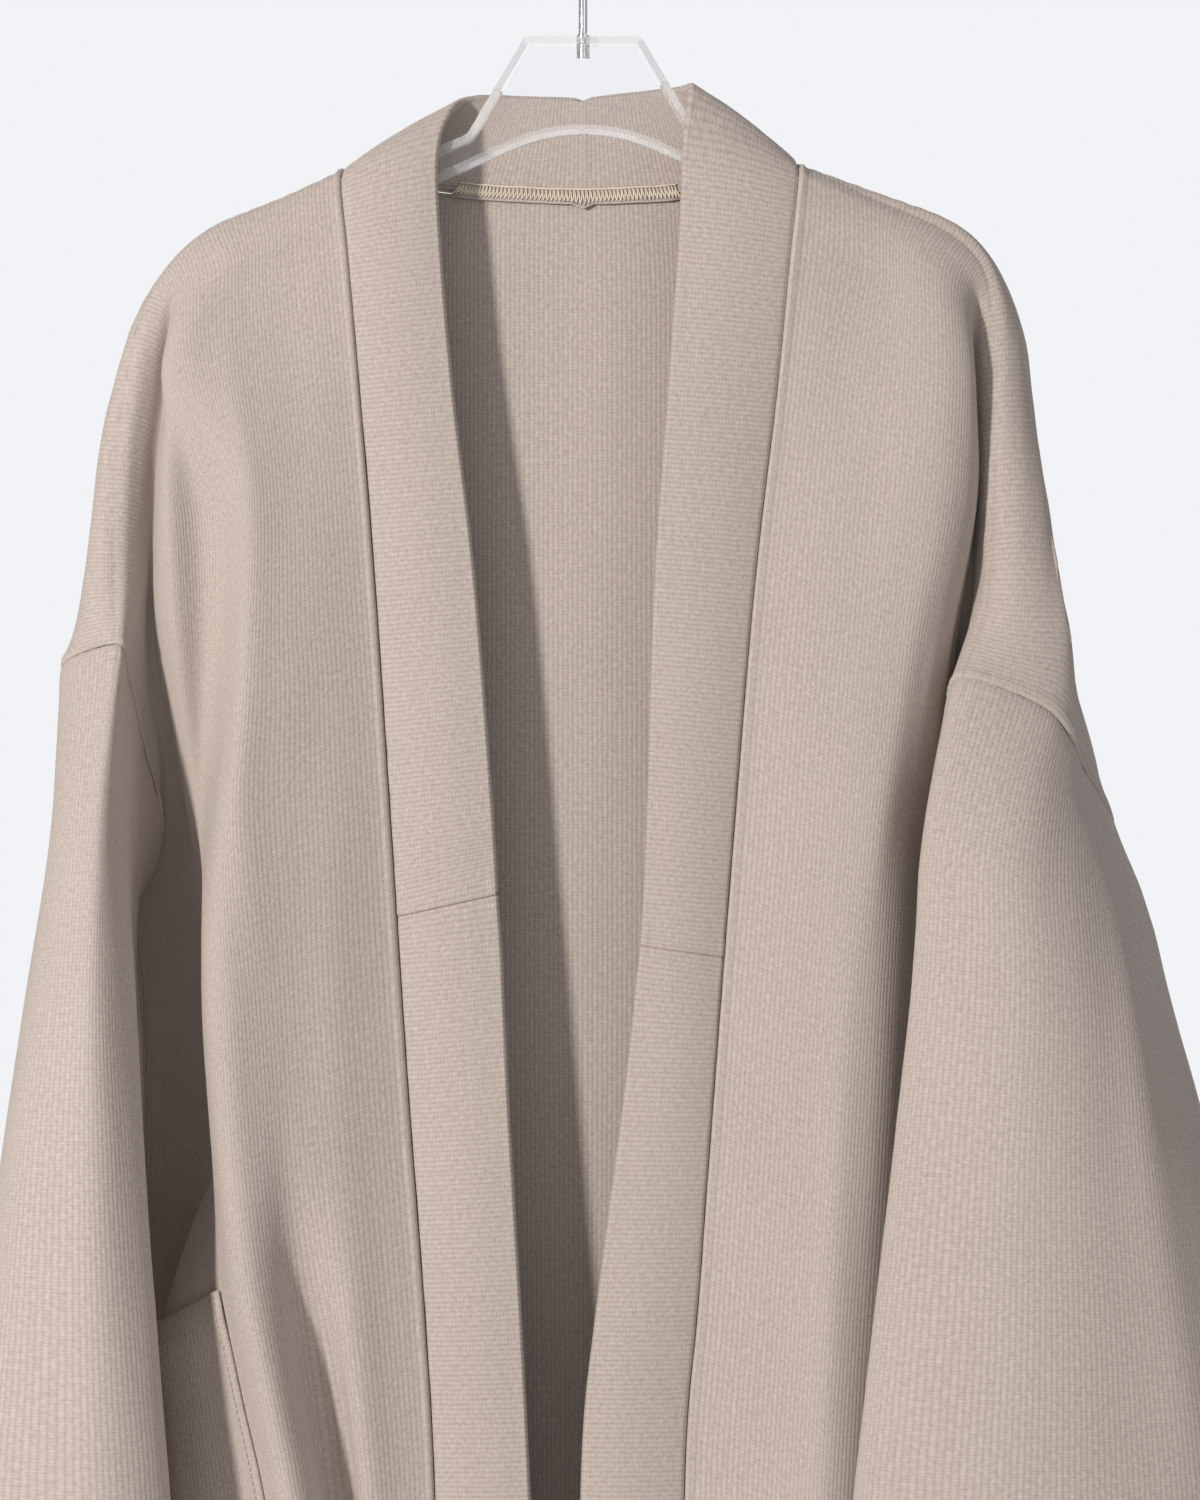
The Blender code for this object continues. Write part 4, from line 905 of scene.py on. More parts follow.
class Cloth:
    """One cut piece at full fineness, with its place in the pattern."""

    def __init__(self, grid, down, across, outward, thickness=CLOTH, closed=False, crosswise=False):
        self.grid = grid
        self.down = down
        self.across = across
        self.outward = outward
        self.thickness = thickness
        self.closed = closed
        self.crosswise = crosswise
        self.shared = {}

    def normals(self):
        if self.closed:
            wide = np.roll(self.grid, -1, axis=1) - np.roll(self.grid, 1, axis=1)
        else:
            wide = np.gradient(self.grid, axis=1)
        normals = self.outward * unit(np.cross(wide, np.gradient(self.grid, axis=0)) + NUDGE)
        for row, ways in self.shared.items():
            normals[row] = ways
        return normals

    def pattern(self):
        """The cloth distances across and down of each point."""
        return np.meshgrid(self.across, self.down)

    def edge_distance(self, edge):
        """How far each point of the pattern lies from one edge of the piece."""
        across, down = self.pattern()
        distances = across if edge in ("near", "far") else down
        return np.abs(distances - distances[(0, 0) if edge in ("top", "near") else (-1, -1)])


def seam_relief(cloth, edges, puckered=True):
    """The drawn-in line, the ridge of the allowance and the puckers along seams."""
    u, v = cloth.pattern()
    height = np.zeros(u.shape)
    for edge, shape in edges.items():
        dip, dip_width, rise, rise_at, rise_width = SEAM_SHAPES[shape]
        away = cloth.edge_distance(edge)
        height += rise * bell(away - rise_at, rise_width) - dip * bell(away, dip_width)
        if puckered:
            run = u if edge in ("top", "foot") else v
            sway = PUCKER_SWAY * np.sin(run / PUCKER_SWAY_LENGTH)
            ripple = np.sin(2 * math.pi * run / PUCKER_LENGTH + sway)
            height += PUCKER * ripple * bell(away - PUCKER_AT, PUCKER_REACH)
    return height


def waves(cloth, seed, size):
    """Soft unevenness, longer down the cloth than across it."""
    u, v = cloth.pattern()
    height = np.zeros(u.shape)
    for tall, wide, long in WAVES:
        for at in np.ndindex(u.shape):
            spot = Vector((u[at] / wide, v[at] / long, seed))
            height[at] += tall * size * noise.noise(spot)
    return height


def crease(cloth, start, end, width, height):
    """A fine fold along a line of the pattern, from one point to another."""
    u, v = cloth.pattern()
    line = np.array(end, float) - start
    length = np.linalg.norm(line)
    ahead = line / length
    along = (u - start[0]) * ahead[0] + (v - start[1]) * ahead[1]
    aside = (v - start[1]) * ahead[0] - (u - start[0]) * ahead[1]
    fade_length = CREASE_FADE * length
    fade = ease(along / fade_length) * ease((length - along) / fade_length)
    return height * fade * bell(aside, width)


def add_object(name, data):
    piece = bpy.data.objects.new(name, data)
    bpy.context.scene.collection.objects.link(piece)
    return piece


def settle(mesh, weld=0.0):
    """Turns a mesh's faces outwards, after joining points that are no further apart than weld."""
    work = bmesh.new()
    work.from_mesh(mesh)
    if weld:
        bmesh.ops.remove_doubles(work, verts=work.verts, dist=weld * MM)
    bmesh.ops.recalc_face_normals(work, faces=work.faces)
    work.to_mesh(mesh)
    work.free()


def wall(name, cloth, material, free):
    """The closed wall of a piece. Free edges are rounded as folded cloth is."""
    outer = cloth.grid
    inner = outer - cloth.normals() * cloth.thickness
    rows, columns = outer.shape[:2]
    count = rows * columns
    points = [*outer.reshape(-1, 3), *inner.reshape(-1, 3)]
    u, v = cloth.pattern()
    if cloth.crosswise:
        u, v = v, u
    marks = list(zip(u.ravel(), v.ravel())) * 2
    faces = []
    for i in range(rows - 1):
        for j in range(columns if cloth.closed else columns - 1):
            k = (j + 1) % columns
            quad = (i * columns + j, i * columns + k, (i + 1) * columns + k, (i + 1) * columns + j)
            faces.append(quad)
            faces.append(tuple(count + corner for corner in reversed(quad)))
    rims = {
        # edge: its points, and the step from them into the piece
        "top": ([(0, j) for j in range(columns)], (1, 0)),
        "foot": ([(rows - 1, j) for j in range(columns)], (-1, 0)),
        "near": ([(i, 0) for i in range(rows)], (0, 1)),
        "far": ([(i, columns - 1) for i in range(rows)], (0, -1)),
    }
    middle = {}
    cut_lines = set()

    def rim_point(i, j, step, bulge):
        """The middle of the rim; edges that meet at a corner share it there."""
        if (i, j) not in middle:
            off = unit(outer[i, j] - outer[i + step[0], (j + step[1]) % columns])
            middle[i, j] = len(points)
            points.append((outer[i, j] + inner[i, j]) / 2 + off * bulge)
            marks.append((u[i, j], v[i, j]))
        return middle[i, j]

    for edge, (line, step) in rims.items():
        if cloth.closed and edge in ("near", "far"):
            continue
        bulge = RIM_BULGE * cloth.thickness if edge in free else 0.0
        ends = line[1:] + line[:1] if cloth.closed else line[1:]
        for here, there in zip(line, ends):
            a, b = (place[0] * columns + place[1] for place in (here, there))
            m, n = (rim_point(*place, step, bulge) for place in (here, there))
            faces.append((a, b, n, m))
            faces.append((m, n, b + count, a + count))
            if edge not in free:
                cut_lines |= {frozenset((a, b)), frozenset((a + count, b + count))}
    mesh = bpy.data.meshes.new(name)
    mesh.from_pydata([tuple(point * MM) for point in points], [], faces)
    layer = mesh.uv_layers.new(name="pattern")
    corners = np.empty(len(mesh.loops), dtype=np.int32)
    mesh.loops.foreach_get("vertex_index", corners)
    layer.data.foreach_set("uv", (np.array(marks)[corners] * MM).ravel())
    settle(mesh)
    mesh.materials.append(material)
    mesh.shade_smooth()
    for line in mesh.edges:
        line.use_edge_sharp = frozenset(line.vertices) in cut_lines
    return add_object(name, mesh)


def cloth_pieces():
    """Every cut piece of cloth but the pockets at full fineness, by name."""
    coarse = {side: front_grid(side) for side in SIDES}
    coarse_back = back_grid(coarse)
    row_stations = row_places(0, LENGTH)
    column_stations = spaced(SHOULDER_STEPS)
    rows = fine_index(len(row_stations))
    columns = fine_index(len(column_stations), NEAR_FIRST, NEAR_LAST)
    cloths = {}
    for side, sign in SIDES.items():
        fine = refine(coarse[side], row_stations, column_stations, rows, columns)
        cloths[f"front_{side}"] = Cloth(*fine, sign)
    half = np.concatenate([neck_reaches(), NECK_HALF + column_stations])
    neck = len(neck_reaches())
    wide = np.concatenate([-half[:0:-1], half])
    half_index = fine_index(len(half), EVEN, NEAR_LAST, {neck: NEAR_FIRST})
    centre = len(half) - 1
    back_columns = np.concatenate([centre - half_index[:0:-1], centre + half_index])
    back = Cloth(*refine(coarse_back, row_stations, wide, rows, back_columns), 1)
    cloths["back"] = back
    middle = len(half_index) - 1
    corner = line_number(half_index, neck)
    under = line_number(rows, ARMHOLE_ROWS)
    for side, sign in SIDES.items():
        front = cloths[f"front_{side}"]
        side_column, side_name = BACK_EDGES[side]
        top = back.grid[0].copy()
        top[middle - sign * corner :: -sign] = front.grid[0]
        draw_edge(back.grid, top, "back", "top")
        line = back.grid[:, side_column].copy()
        line[under:] = front.grid[under:, -1]
        draw_edge(back.grid, line, "back", side_name)
        back_line = back.grid[under::-1, side_column]
        target = np.concatenate([back_line, front.grid[1:under, -1]])
        ring = sleeve_grid(side, armhole_loop(side, coarse[side], coarse_back))
        cloths[f"sleeve_{side}"] = fine_sleeve(side, ring, rows[: under + 1], target)
        neck_line = back.grid[0, middle : middle - sign * (corner + 1) : -sign]
        path = np.concatenate([neck_line, front.grid[1:, 0]])
        cloths.update(fine_bands(side, coarse, coarse_back, path))
    return cloths


def fine_sleeve(side, ring, rows, target):
    """A sleeve whose rings go round through the same places as the armhole's edges."""
    index = np.concatenate([ARMHOLE_ROWS - rows[::-1], ARMHOLE_ROWS + rows[1:-1]])
    wrapped = np.concatenate([ring, ring, ring], axis=1)
    stations = three_rounds(armhole_stations(side))
    depth = np.linspace(0, 1, SLEEVE_ROWS + 1) * SLEEVE_LENGTH
    levels = fine_index(SLEEVE_ROWS + 1, NEAR_FIRST)
    fine = refine(wrapped, depth, stations, levels, ring.shape[1] + index)
    sleeve = Cloth(*fine, -SIDES[side], closed=True)
    draw_edge(sleeve.grid, target, "sleeve", "top")
    return sleeve


def fine_bands(side, coarse, coarse_back, path):
    """The upper and the lower band, with their seam drawn to a path of the cloth's edge."""
    seam, edge, join = split_band(side, *band_outline(side, coarse, coarse_back))
    crown = crown_band(side, seam, edge)
    rows = fine_index(len(seam), special={join - 1: NEAR_LAST, join: NEAR_FIRST})
    across = np.linspace(0, 1, BAND_COLUMNS + 1) * BAND_WIDTH
    columns = fine_index(BAND_COLUMNS + 1, NEAR_FIRST, NEAR_LAST)
    fine, down, wide = refine(crown, run_along(seam), across, rows, columns)
    path_run = run_along(path)
    target = read_line(down / down[-1] * path_run[-1], path_run, path)
    draw_edge(fine, target, "band", "near")
    cut = line_number(rows, join)
    bands = {}
    for name, part in (("upper", slice(cut + 1)), ("lower", slice(cut, None))):
        bands[f"band_{name}_{side}"] = Cloth(
            fine[part], down[part], wide, -SIDES[side], BAND_CLOTH, crosswise=True
        )
    return bands


def pocket_cloth(front):
    """The patch pocket: the front's own surface moved out, with a turned-in top hem."""
    rows = slice(line_number(front.down, POCKET_TOP), line_number(front.down, POCKET_FOOT) + 1)
    columns = slice(
        line_number(front.across, POCKET_NEAR), line_number(front.across, POCKET_FAR) + 1
    )
    normals = front.normals()[rows, columns]
    base = front.grid[rows, columns] + normals * (SEAM_GAP + CLOTH)
    pocket = Cloth(base, front.down[rows], front.across[columns], front.outward)
    depth = pocket.down - pocket.down[0]
    middle = np.sin(np.linspace(0, math.pi, len(pocket.across)))
    gape = POCKET_GAPE * bell(depth, POCKET_GAPE_DEPTH)
    hem_rise, hem_fade, groove, groove_width = POCKET_HEM_SHAPE
    below_hem = depth - POCKET_HEM
    hem = hem_rise * (1 - ease(below_hem / hem_fade)) - groove * bell(below_hem, groove_width)
    height = gape[:, None] * middle + hem[:, None]
    height += seam_relief(pocket, SEAMS["pocket"], puckered=False)
    pocket.grid = base + normals * height[..., None]
    return pocket


def poly_curve(name, lines, radius, roundness):
    """A round curve object with a spline for each line of points, which may have a radius."""
    data = bpy.data.curves.new(name, "CURVE")
    data.dimensions = "3D"
    data.bevel_depth = radius * MM
    data.bevel_resolution = roundness
    for line in lines:
        spline = data.splines.new("POLY")
        spline.points.add(len(line) - 1)
        for point, place in zip(spline.points, line):
            point.co = (*(np.array(place[:3]) * MM), 1)
            point.radius = place[3] if len(place) > 3 else 1
    return add_object(name, data)


def thread(name, lines, radius, material):
    """Sewing thread as one curve object."""
    piece = poly_curve(name, lines, radius, THREAD_ROUNDNESS)
    piece.data.materials.append(material)
    return piece


def stitches(path, normals):
    """Short lines along a path: each stitch dips into the cloth at both ends."""
    run = run_along(path)
    heights = np.array(SEWING_HEIGHTS)[:, None]
    shares = np.linspace(0, 1, len(heights))
    lines = []
    start = SEWING_GAP
    while start + SEWING_LENGTH < run[-1]:
        places = start + SEWING_LENGTH * shares
        lines.append(read_line(places, run, path) + read_line(places, run, normals) * heights)
        start += SEWING_LENGTH + SEWING_GAP
    return lines


def stitch_row(cloth, down=None, across=None):
    """Stitches along the grid line nearest to a distance down or across the pattern."""
    normals = cloth.normals()
    if down is not None:
        i = int(np.argmin(np.abs(cloth.down - down)))
        return stitches(cloth.grid[i], normals[i])
    j = int(np.argmin(np.abs(cloth.across - across)))
    return stitches(cloth.grid[:, j], normals[:, j])


def topstitching(cloths):
    """The stitches round the pockets and along the hems."""
    lines = []
    for side in SIDES:
        pocket = cloths[f"pocket_{side}"]
        for down in (POCKET_TOP + POCKET_HEM, POCKET_FOOT - SEWING_IN):
            lines += stitch_row(pocket, down=down)
        for across in (POCKET_NEAR + SEWING_IN, POCKET_FAR - SEWING_IN):
            lines += stitch_row(pocket, across=across)
    for name in ("front_right", "sleeve_right", "front_left", "sleeve_left", "back"):
        lines += stitch_row(cloths[name], down=cloths[name].down[-1] - HEM)
    return lines


def neck_strip(cloths):
    """The overlocked seam allowance inside the back neck."""
    grids, runs = [], []
    for side in SIDES:
        band = cloths[f"band_upper_{side}"]
        rows = band.down <= STRIP_REACH[side]
        normals = band.normals()
        inner = (band.grid - normals * (band.thickness + STRIP_OFF))[rows].transpose(1, 0, 2)
        facing = -normals[rows].transpose(1, 0, 2)
        strip = []
        for column in np.interp(STRIP_EDGES, band.across, np.arange(len(band.across))):
            lift = facing[int(column)] * STRIP_LIFT - np.array((0, 0, STRIP_DROP))
            strip.append(between(inner, column) + lift)
        strip.insert(0, strip[0] - np.array((0, 0, STRIP_HANG)))
        grids.append(np.array(strip).transpose(1, 0, 2))
        runs.append(band.down[rows])
    grid = np.concatenate([grids[0][:0:-1], grids[1]])
    down = np.concatenate([-runs[0][:0:-1], runs[1]])
    return Cloth(grid, down, np.array((-STRIP_HANG, *STRIP_EDGES)), -1, STRIP_CLOTH)


def overlock(strip):
    """A thread that crosses the strip to and fro, and one along its free edge."""
    raised = strip.grid + strip.normals() * OVERLOCK_RADIUS
    count = int((strip.down[-1] - strip.down[0]) / OVERLOCK_PITCH)
    line, rim = [], []
    for k, row in enumerate(np.linspace(0, len(raised) - 1, count * 4 + 1)):
        across = between(raised, row)
        share = 0.5 - 0.5 * math.cos(math.pi * k / 2)
        line.append(between(across, 1 + share * (len(across) - 2)))
        rim.append(across[-1])
    return [line, rim]


def rounded(corners):
    """The outline through corners given as x, z and radius, with their arcs."""
    count = len(corners)
    outline = []
    for k, (x, z, radius) in enumerate(corners):
        at = np.array((x, z), float)
        before = unit(np.array(corners[k - 1][:2], float) - at)
        after = unit(np.array(corners[(k + 1) % count][:2], float) - at)
        half = math.acos(np.clip(before @ after, -1, 1)) / 2
        centre = at + unit(before + after) * radius / math.sin(half)
        starts = [at + way * radius / math.tan(half) - centre for way in (before, after)]
        first, last = (math.atan2(start[1], start[0]) for start in starts)
        turn = (last - first + math.pi) % (2 * math.pi) - math.pi
        steps = max(2, round(abs(turn) * radius / ARC_STEP) + 1)
        for angle in first + turn * np.linspace(0, 1, steps):
            outline.append(centre + radius * np.array((math.cos(angle), math.sin(angle))))
    return np.array(outline)


def chamfered_plate(outline):
    """A plate of a given outline, with a wide flat chamfer along the edges of both faces."""
    after = np.roll(outline, -1, axis=0)
    ahead = unit(after - np.roll(outline, 1, axis=0))
    area = np.sum(outline[:, 0] * after[:, 1] - outline[:, 1] * after[:, 0])
    inward = np.column_stack([-ahead[:, 1], ahead[:, 0]]) * math.copysign(1, area)
    points = []
    for y, inset in (
        (-PLATE / 2, CHAMFER_WIDE),
        (CHAMFER_DEEP - PLATE / 2, 0),
        (PLATE / 2 - CHAMFER_DEEP, 0),
        (PLATE / 2, CHAMFER_WIDE),
    ):
        points += [(x * MM, y * MM, z * MM) for x, z in outline + inward * inset]
    count = len(outline)
    faces = [tuple(range(count)), tuple(range(4 * count - 1, 3 * count - 1, -1))]
    for level in range(3):
        for i in range(count):
            j = (i + 1) % count
            a, b = level * count, (level + 1) * count
            faces.append((a + i, b + i, b + j, a + j))
    mesh = bpy.data.meshes.new("hanger_plate")
    mesh.from_pydata(points, [], faces)
    settle(mesh)
    for face in mesh.polygons[2:]:
        face.material_index = 1
    return mesh


def evaluated_mesh(piece):
    """The mesh of an object as its modifiers or its bevel leave it."""
    graph = bpy.context.evaluated_depsgraph_get()
    return bpy.data.meshes.new_from_object(piece.evaluated_get(graph))


def build_plate(acrylic, edge):
    """The hanger's plate, with the bore for the ferrule."""
    mirrored = [(-x, z, radius) for x, z, radius in reversed(PLATE_HALF)]
    meet, arch = PLATE_ARCH
    mesh = chamfered_plate(rounded([*PLATE_HALF, (0, meet, arch), *mirrored]))
    mesh.materials.append(acrylic)
    mesh.materials.append(edge)
    plate = add_object("hanger_plate", mesh)
    foot = FERRULE_FOOT - SEAM_GAP
    top = PLATE_HALF[0][1] + BORE_OUT
    bpy.ops.mesh.primitive_cylinder_add(
        vertices=BORE_SIDES,
        radius=(FERRULE + SEAM_GAP) * MM,
        depth=(top - foot) * MM,
        location=(0, 0, (top + foot) / 2 * MM),
    )
    cutter = bpy.context.object
    cut = plate.modifiers.new("bore", "BOOLEAN")
    cut.operation = "DIFFERENCE"
    cut.solver = "EXACT"
    cut.object = cutter
    plate.data = evaluated_mesh(plate)
    plate.modifiers.clear()
    bpy.data.objects.remove(cutter)
    plate.data.shade_smooth()
    plate.data.set_sharp_from_angle(angle=math.radians(PLATE_SHARP))
    return plate


def build_hook(chrome):
    """The metal rod with its ferrule."""
    rod = poly_curve("hook_rod", [hook_line()], 1.0, ROD_ROUNDNESS)
    rod.data.use_fill_caps = True
    mesh = evaluated_mesh(rod)
    bpy.data.objects.remove(rod)
    settle(mesh, WELD)
    mesh.materials.append(chrome)
    mesh.shade_smooth()
    mesh.set_sharp_from_angle(angle=math.radians(HOOK_SHARP))
    return add_object("hook_rod", mesh)


def hook_line():
    """Points and radii of the hook, from the ferrule's foot to the rounded tip."""

    def on_bend(degrees):
        """The rod's middle on the bend, and its direction there."""
        angle = math.radians(degrees)
        out = np.array((math.cos(angle), 0, math.sin(angle)))
        ahead = np.array((-math.sin(angle), 0, math.cos(angle)))
        return (HOOK_INNER + ROD) * out - np.array((0, 0, HOOK_INNER)), ahead

    points = [
        (0, 0, FERRULE_FOOT, FERRULE),
        (0, 0, FERRULE_TOP, FERRULE),
        (0, 0, FERRULE_TOP + FERRULE_STEP, ROD),
        (0, 0, HOOK_STEM, ROD),
    ]
    meet, ahead = on_bend(HOOK_START)
    stem = np.array((0, 0, HOOK_STEM))
    corner = np.array((0, 0, HOOK_STEM + HOOK_EASE))
    lead = meet - HOOK_EASE * ahead
    for share in np.linspace(0, 1, EASE_STEPS + 1)[1:-1]:
        rest = 1 - share
        near_stem = rest**3 * stem + 3 * rest**2 * share * corner
        near_bend = 3 * rest * share**2 * lead + share**3 * meet
        points.append((*(near_stem + near_bend), ROD))
    for degrees in np.linspace(HOOK_START, HOOK_END, HOOK_STEPS):
        points.append((*on_bend(degrees)[0], ROD))
    tip, ahead = on_bend(HOOK_END)
    for angle in np.radians(TIP_ANGLES):
        points.append((*(tip + ahead * ROD * math.sin(angle)), ROD * math.cos(angle)))
    return points


def new_material(name):
    material = bpy.data.materials.new(name)
    material.use_nodes = True
    tree = material.node_tree
    return material, tree, tree.nodes["Principled BSDF"]


def fill_inputs(tree, item, inputs):
    """Gives a node's inputs their values, or links them to the outputs of other nodes."""
    for key, value in inputs.items():
        if isinstance(value, bpy.types.NodeSocket):
            tree.links.new(value, item.inputs[key])
        else:
            item.inputs[key].default_value = value


def node(tree, kind, inputs=None, **settings):
    item = tree.nodes.new(kind)
    for key, value in settings.items():
        setattr(item, key, value)
    fill_inputs(tree, item, inputs or {})
    return item


def maths(tree, operation, a, b=0.0, c=0.0):
    return node(tree, "ShaderNodeMath", {0: a, 1: b, 2: c}, operation=operation).outputs[0]


def blend_colour(tree, share, low, high):
    inputs = {"Factor": share}
    for socket, value in ((6, low), (7, high)):
        inputs[socket] = value if isinstance(value, bpy.types.NodeSocket) else (*value, 1)
    return node(tree, "ShaderNodeMix", inputs, data_type="RGBA").outputs[2]


def grain(tree, place, name):
    scale, detail, rough = GRAINS[name]
    inputs = {"Vector": place, "Scale": scale, "Detail": detail, "Roughness": rough}
    return node(tree, "ShaderNodeTexNoise", inputs).outputs["Fac"]


def object_place(tree):
    return node(tree, "ShaderNodeTexCoord").outputs["Object"]


def knit_material():
    """Heathered double knit: fine ribs down the pattern, crossed by rows of stitches, with painted shade
    in the valleys between them.
    """
    material, tree, shader = new_material("knit_beige")

    def calc(operation, *values):
        return maths(tree, operation, *values)

    place = node(tree, "ShaderNodeUVMap", uv_map="pattern").outputs[0]
    apart = node(tree, "ShaderNodeSeparateXYZ", {0: place})
    sway = calc("MULTIPLY", calc("SUBTRACT", grain(tree, place, "sway"), 0.5), KNIT_SWAY * MM)
    u = calc("ADD", apart.outputs[0], sway)
    v = calc("ADD", apart.outputs[1], sway)
    share = calc("FRACT", calc("DIVIDE", u, RIB * MM))
    aside = calc("MULTIPLY", calc("ABSOLUTE", calc("SUBTRACT", share, 0.5)), 2.0)
    valley = calc("POWER", aside, RIB_SHAPE)
    ribs = calc("SUBTRACT", 1.0, valley)
    rows = calc("MULTIPLY_ADD", aside, CHEVRON, calc("DIVIDE", v, STITCH * MM))
    loops = calc("MULTIPLY_ADD", calc("SINE", calc("MULTIPLY", rows, 2 * math.pi)), 0.5, 0.5)
    gap = calc("POWER", calc("SUBTRACT", 1.0, loops), 2.0)
    fibre = grain(tree, place, "fibre")

    heather = calc("MULTIPLY_ADD", grain(tree, place, "heather"), HEATHER_SPREAD, HEATHER_START)
    # Painted shade: the colour darkens in the valleys between ribs and between rows of stitches, where
    # shade falls
    shade = calc("MULTIPLY_ADD", valley, RIB_SHADE, calc("MULTIPLY", gap, ROW_SHADE))
    pale = calc("MULTIPLY", calc("SUBTRACT", grain(tree, place, "broad"), PALE_FROM), PALE_SHARE)
    pale.node.use_clamp = True
    colour = blend_colour(tree, heather, KNIT_DARK, KNIT_LIGHT)
    colour = blend_colour(tree, shade, colour, KNIT_PAINTED_SHADE)
    colour = blend_colour(tree, pale, colour, KNIT_LIGHT)

    height = calc("MULTIPLY", ribs, RIB_HEIGHT)
    height = calc("MULTIPLY_ADD", loops, ROW_HEIGHT, height)
    height = calc("MULTIPLY_ADD", fibre, FIBRE_HEIGHT, height)
    relief = {"Height": height, "Strength": KNIT_BUMP, "Distance": KNIT_RELIEF * MM}
    least, more = KNIT_ROUGH
    inputs = {
        "Base Color": colour,
        "Normal": node(tree, "ShaderNodeBump", relief).outputs[0],
        "Roughness": calc("MULTIPLY_ADD", fibre, more, least),
    }
    fill_inputs(tree, shader, {**inputs, **KNIT_SURFACE})
    return material


def thread_material(name):
    """Twisted sewing thread."""
    material, tree, shader = new_material(name)
    twist = grain(tree, object_place(tree), "twist")
    relief = {"Height": twist, "Strength": THREAD_BUMP, "Distance": THREAD_RELIEF * MM}
    inputs = {
        "Base Color": blend_colour(tree, twist, *THREADS[name]),
        "Normal": node(tree, "ShaderNodeBump", relief).outputs[0],
    }
    fill_inputs(tree, shader, {**inputs, **THREAD_SURFACE})
    return material


def acrylic_material(name):
    """Acrylic with faint handling haze, milkier where its transmission is less than one."""
    material, tree, shader = new_material(name)
    haze = grain(tree, object_place(tree), "haze")
    clear, least, more = ACRYLICS[name]
    inputs = {
        "Base Color": ACRYLIC_COLOUR,
        "Transmission Weight": clear,
        "IOR": ACRYLIC_IOR,
        "Roughness": maths(tree, "MULTIPLY_ADD", haze, more, least),
    }
    fill_inputs(tree, shader, inputs)
    return material


def chrome_material():
    material, tree, shader = new_material("chrome")
    wear = grain(tree, object_place(tree), "wear")
    least, more = CHROME_ROUGH
    inputs = {
        "Base Color": blend_colour(tree, wear, *CHROME_TONES),
        "Metallic": 1.0,
        "Roughness": maths(tree, "MULTIPLY_ADD", wear, more, least),
    }
    fill_inputs(tree, shader, inputs)
    return material


def area_light(name, place, size, power, colour):
    data = bpy.data.lights.new(name, "AREA")
    data.shape = "DISK"
    data.size = size
    data.energy = power
    data.color = colour
    lamp = add_object(name, data)
    lamp.location = place
    aim = Vector(LIGHT_TARGET) - Vector(place)
    lamp.rotation_euler = aim.to_track_quat("-Z", "Y").to_euler()


def set_world(scene):
    """A bright screen behind the coat, softer light before it and less from the sides.

    The clear hanger's edges show by what they bend in.
    """
    world = bpy.data.worlds.new("studio")
    world.use_nodes = True
    tree = world.node_tree
    way = node(tree, "ShaderNodeTexCoord").outputs["Generated"]
    ahead = node(tree, "ShaderNodeSeparateXYZ", {0: way}).outputs[1]
    share = maths(tree, "POWER", maths(tree, "ABSOLUTE", ahead), WORLD_FALL)
    before = blend_colour(tree, share, WORLD_SIDES, WORLD_BEFORE)
    low, high = WORLD_SCREEN_EDGE
    inputs = {"Value": ahead, "From Min": low, "From Max": high}
    screen = node(tree, "ShaderNodeMapRange", inputs, interpolation_type="SMOOTHSTEP")
    light = blend_colour(tree, screen.outputs["Result"], before, WORLD_BEHIND)
    tree.links.new(light, tree.nodes["Background"].inputs[0])
    scene.world = world


def set_stage():
    """The camera, the lights, the world around them and the pale floor."""
    scene = bpy.context.scene
    camera = add_object("camera", bpy.data.cameras.new("camera"))
    camera.data.sensor_fit = "VERTICAL"
    camera.data.sensor_height = SENSOR_HEIGHT
    camera.data.lens = CAMERA_LENS
    camera.data.clip_start = CLIP_START
    camera.location = CAMERA_PLACE
    camera.rotation_euler = (math.radians(90), 0, 0)
    scene.camera = camera
    set_world(scene)
    for light in LIGHTS:
        area_light(*light)
    material, tree, shader = new_material("floor")
    fill_inputs(tree, shader, {"Base Color": FLOOR_COLOUR, "Roughness": FLOOR_ROUGH})
    bpy.ops.mesh.primitive_circle_add(
        vertices=FLOOR_SIDES, radius=FLOOR_RADIUS, fill_type="NGON", location=(0, 0, FLOOR_HEIGHT)
    )
    floor = bpy.context.object
    floor.name = "floor"
    floor.data.materials.append(material)
    scene.view_settings.view_transform = "Standard"


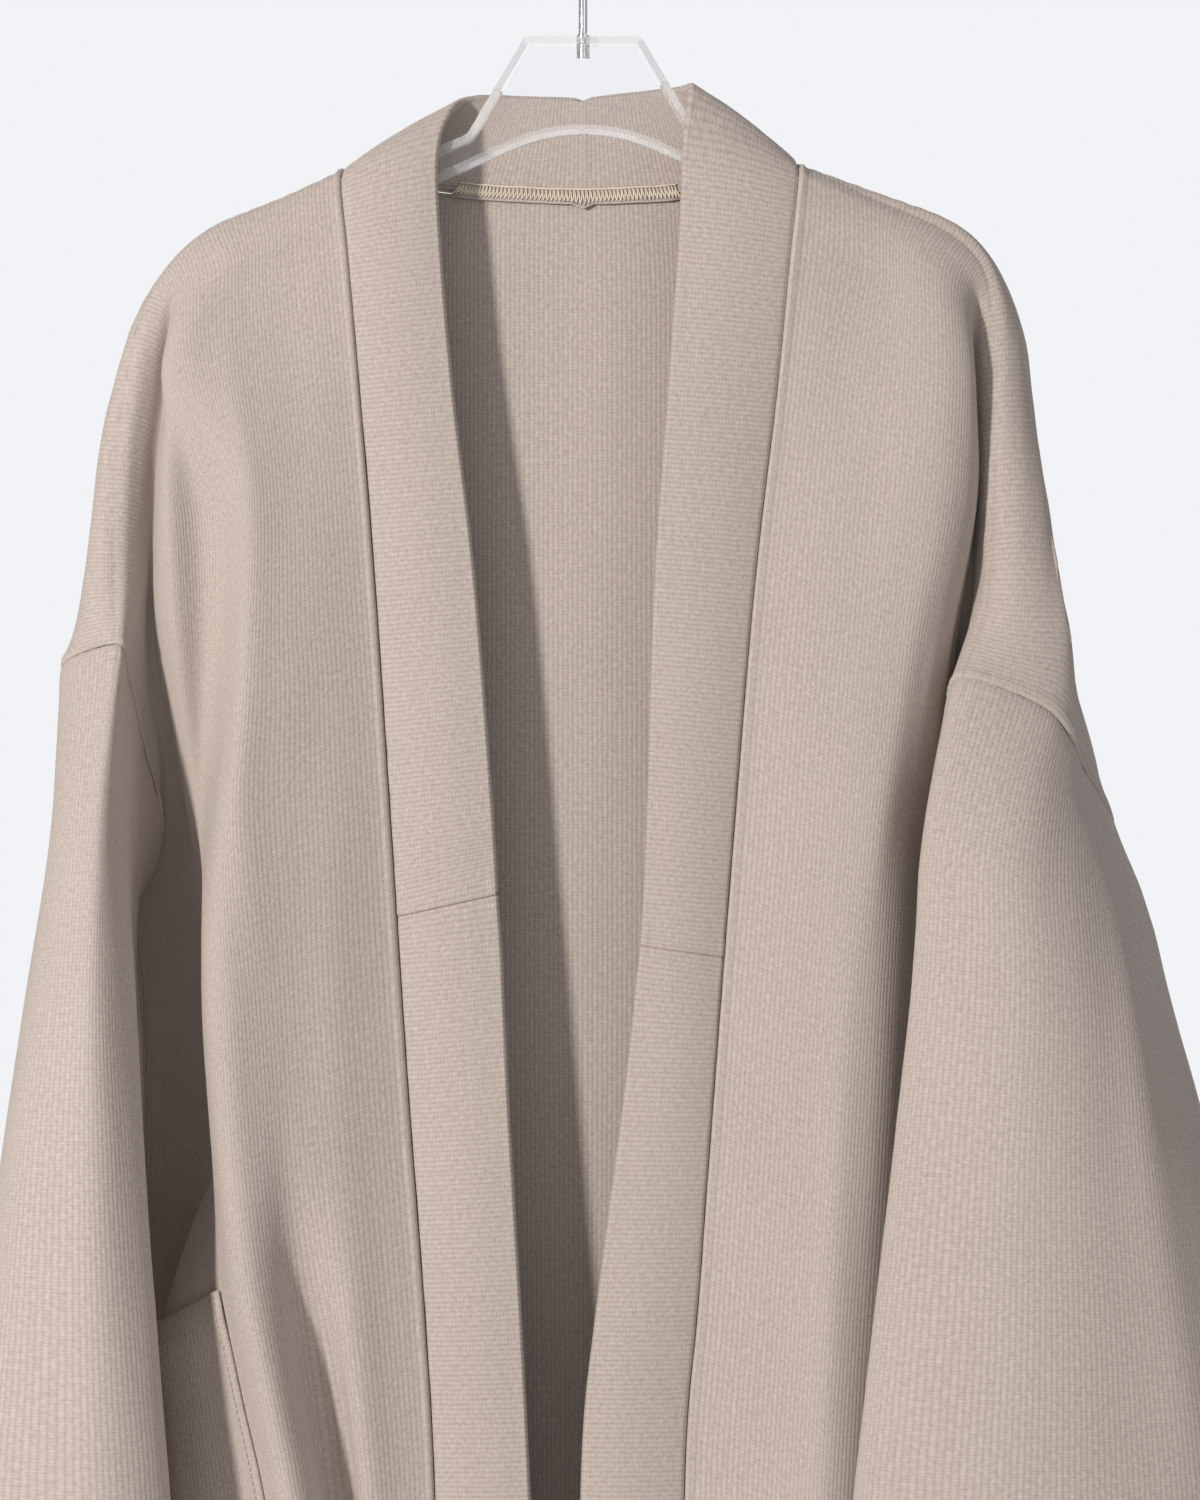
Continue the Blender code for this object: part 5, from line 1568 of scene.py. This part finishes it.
def share_normals(cloths):
    """Gives bands that meet end to end the same normals there, so that no groove opens."""
    normals = {name: cloth.normals() for name, cloth in cloths.items() if name.startswith("band")}
    middle = unit(normals["band_upper_right"][0] + normals["band_upper_left"][0])
    for side in SIDES:
        upper, lower = f"band_upper_{side}", f"band_lower_{side}"
        meet = unit(normals[upper][-1] + normals[lower][0])
        cloths[upper].shared = {0: middle, -1: meet}
        cloths[lower].shared = {0: meet}


def kind_of(name):
    return name.replace("_right", "").replace("_left", "")


def dress_cloth(cloths, knit):
    """Adds the seams' relief, the soft waves and the creases, and makes the walls."""
    pieces = {}
    for number, (name, cloth) in enumerate(cloths.items()):
        kind = kind_of(name)
        seams = SEAMS[kind]
        size = BAND_WAVES if kind.startswith("band") else 1.0
        away = np.min([cloth.edge_distance(edge) for edge in seams], axis=0)
        height = seam_relief(cloth, seams)
        height += waves(cloth, WAVE_SEED * number, size) * ease(away / WAVE_FADE)
        for _, u0, v0, u1, v1, width, tall in CREASES.get(name, ()):
            height += crease(cloth, (u0, v0), (u1, v1), width, tall)
        cloth.grid = cloth.grid + cloth.normals() * height[..., None]
        pieces[name] = wall(f"{name}_cloth", cloth, knit, FREE_EDGES[kind])
    return pieces


def main():
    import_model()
    knit = knit_material()

    cloths = cloth_pieces()
    share_normals(cloths)
    pieces = dress_cloth(cloths, knit)
    for side in SIDES:
        name = f"pocket_{side}"
        cloths[name] = pocket_cloth(cloths[f"front_{side}"])
        pieces[name] = wall(f"{name}_cloth", cloths[name], knit, FREE_EDGES["pocket"])
    for name, piece in pieces.items():
        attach(piece, "root")
        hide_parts(name)

    strip = neck_strip(cloths)
    inner_thread = thread_material("overlock_thread")
    sewing = thread_material("sewing_thread")
    trims = [
        wall("neck_allowance", strip, knit, ("near", "far", "top", "foot")),
        thread("neck_overlock", overlock(strip), OVERLOCK_RADIUS, inner_thread),
        thread("topstitching", topstitching(cloths), SEWING_RADIUS, sewing),
    ]
    for trim in trims:
        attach(trim, "root")

    acrylic, edge = (acrylic_material(name) for name in ACRYLICS)
    hanger = build_plate(acrylic, edge)
    hook = build_hook(chrome_material())
    for piece, name, kind in ((hanger, "hanger", "clear_acrylic"), (hook, "hook", "chrome")):
        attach(piece, "root")
        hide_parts(name)
    # Light passes the clear plate on its way to the cloth.
    hanger.visible_shadow = False
    hanger.visible_diffuse = False

    set_stage()


main()
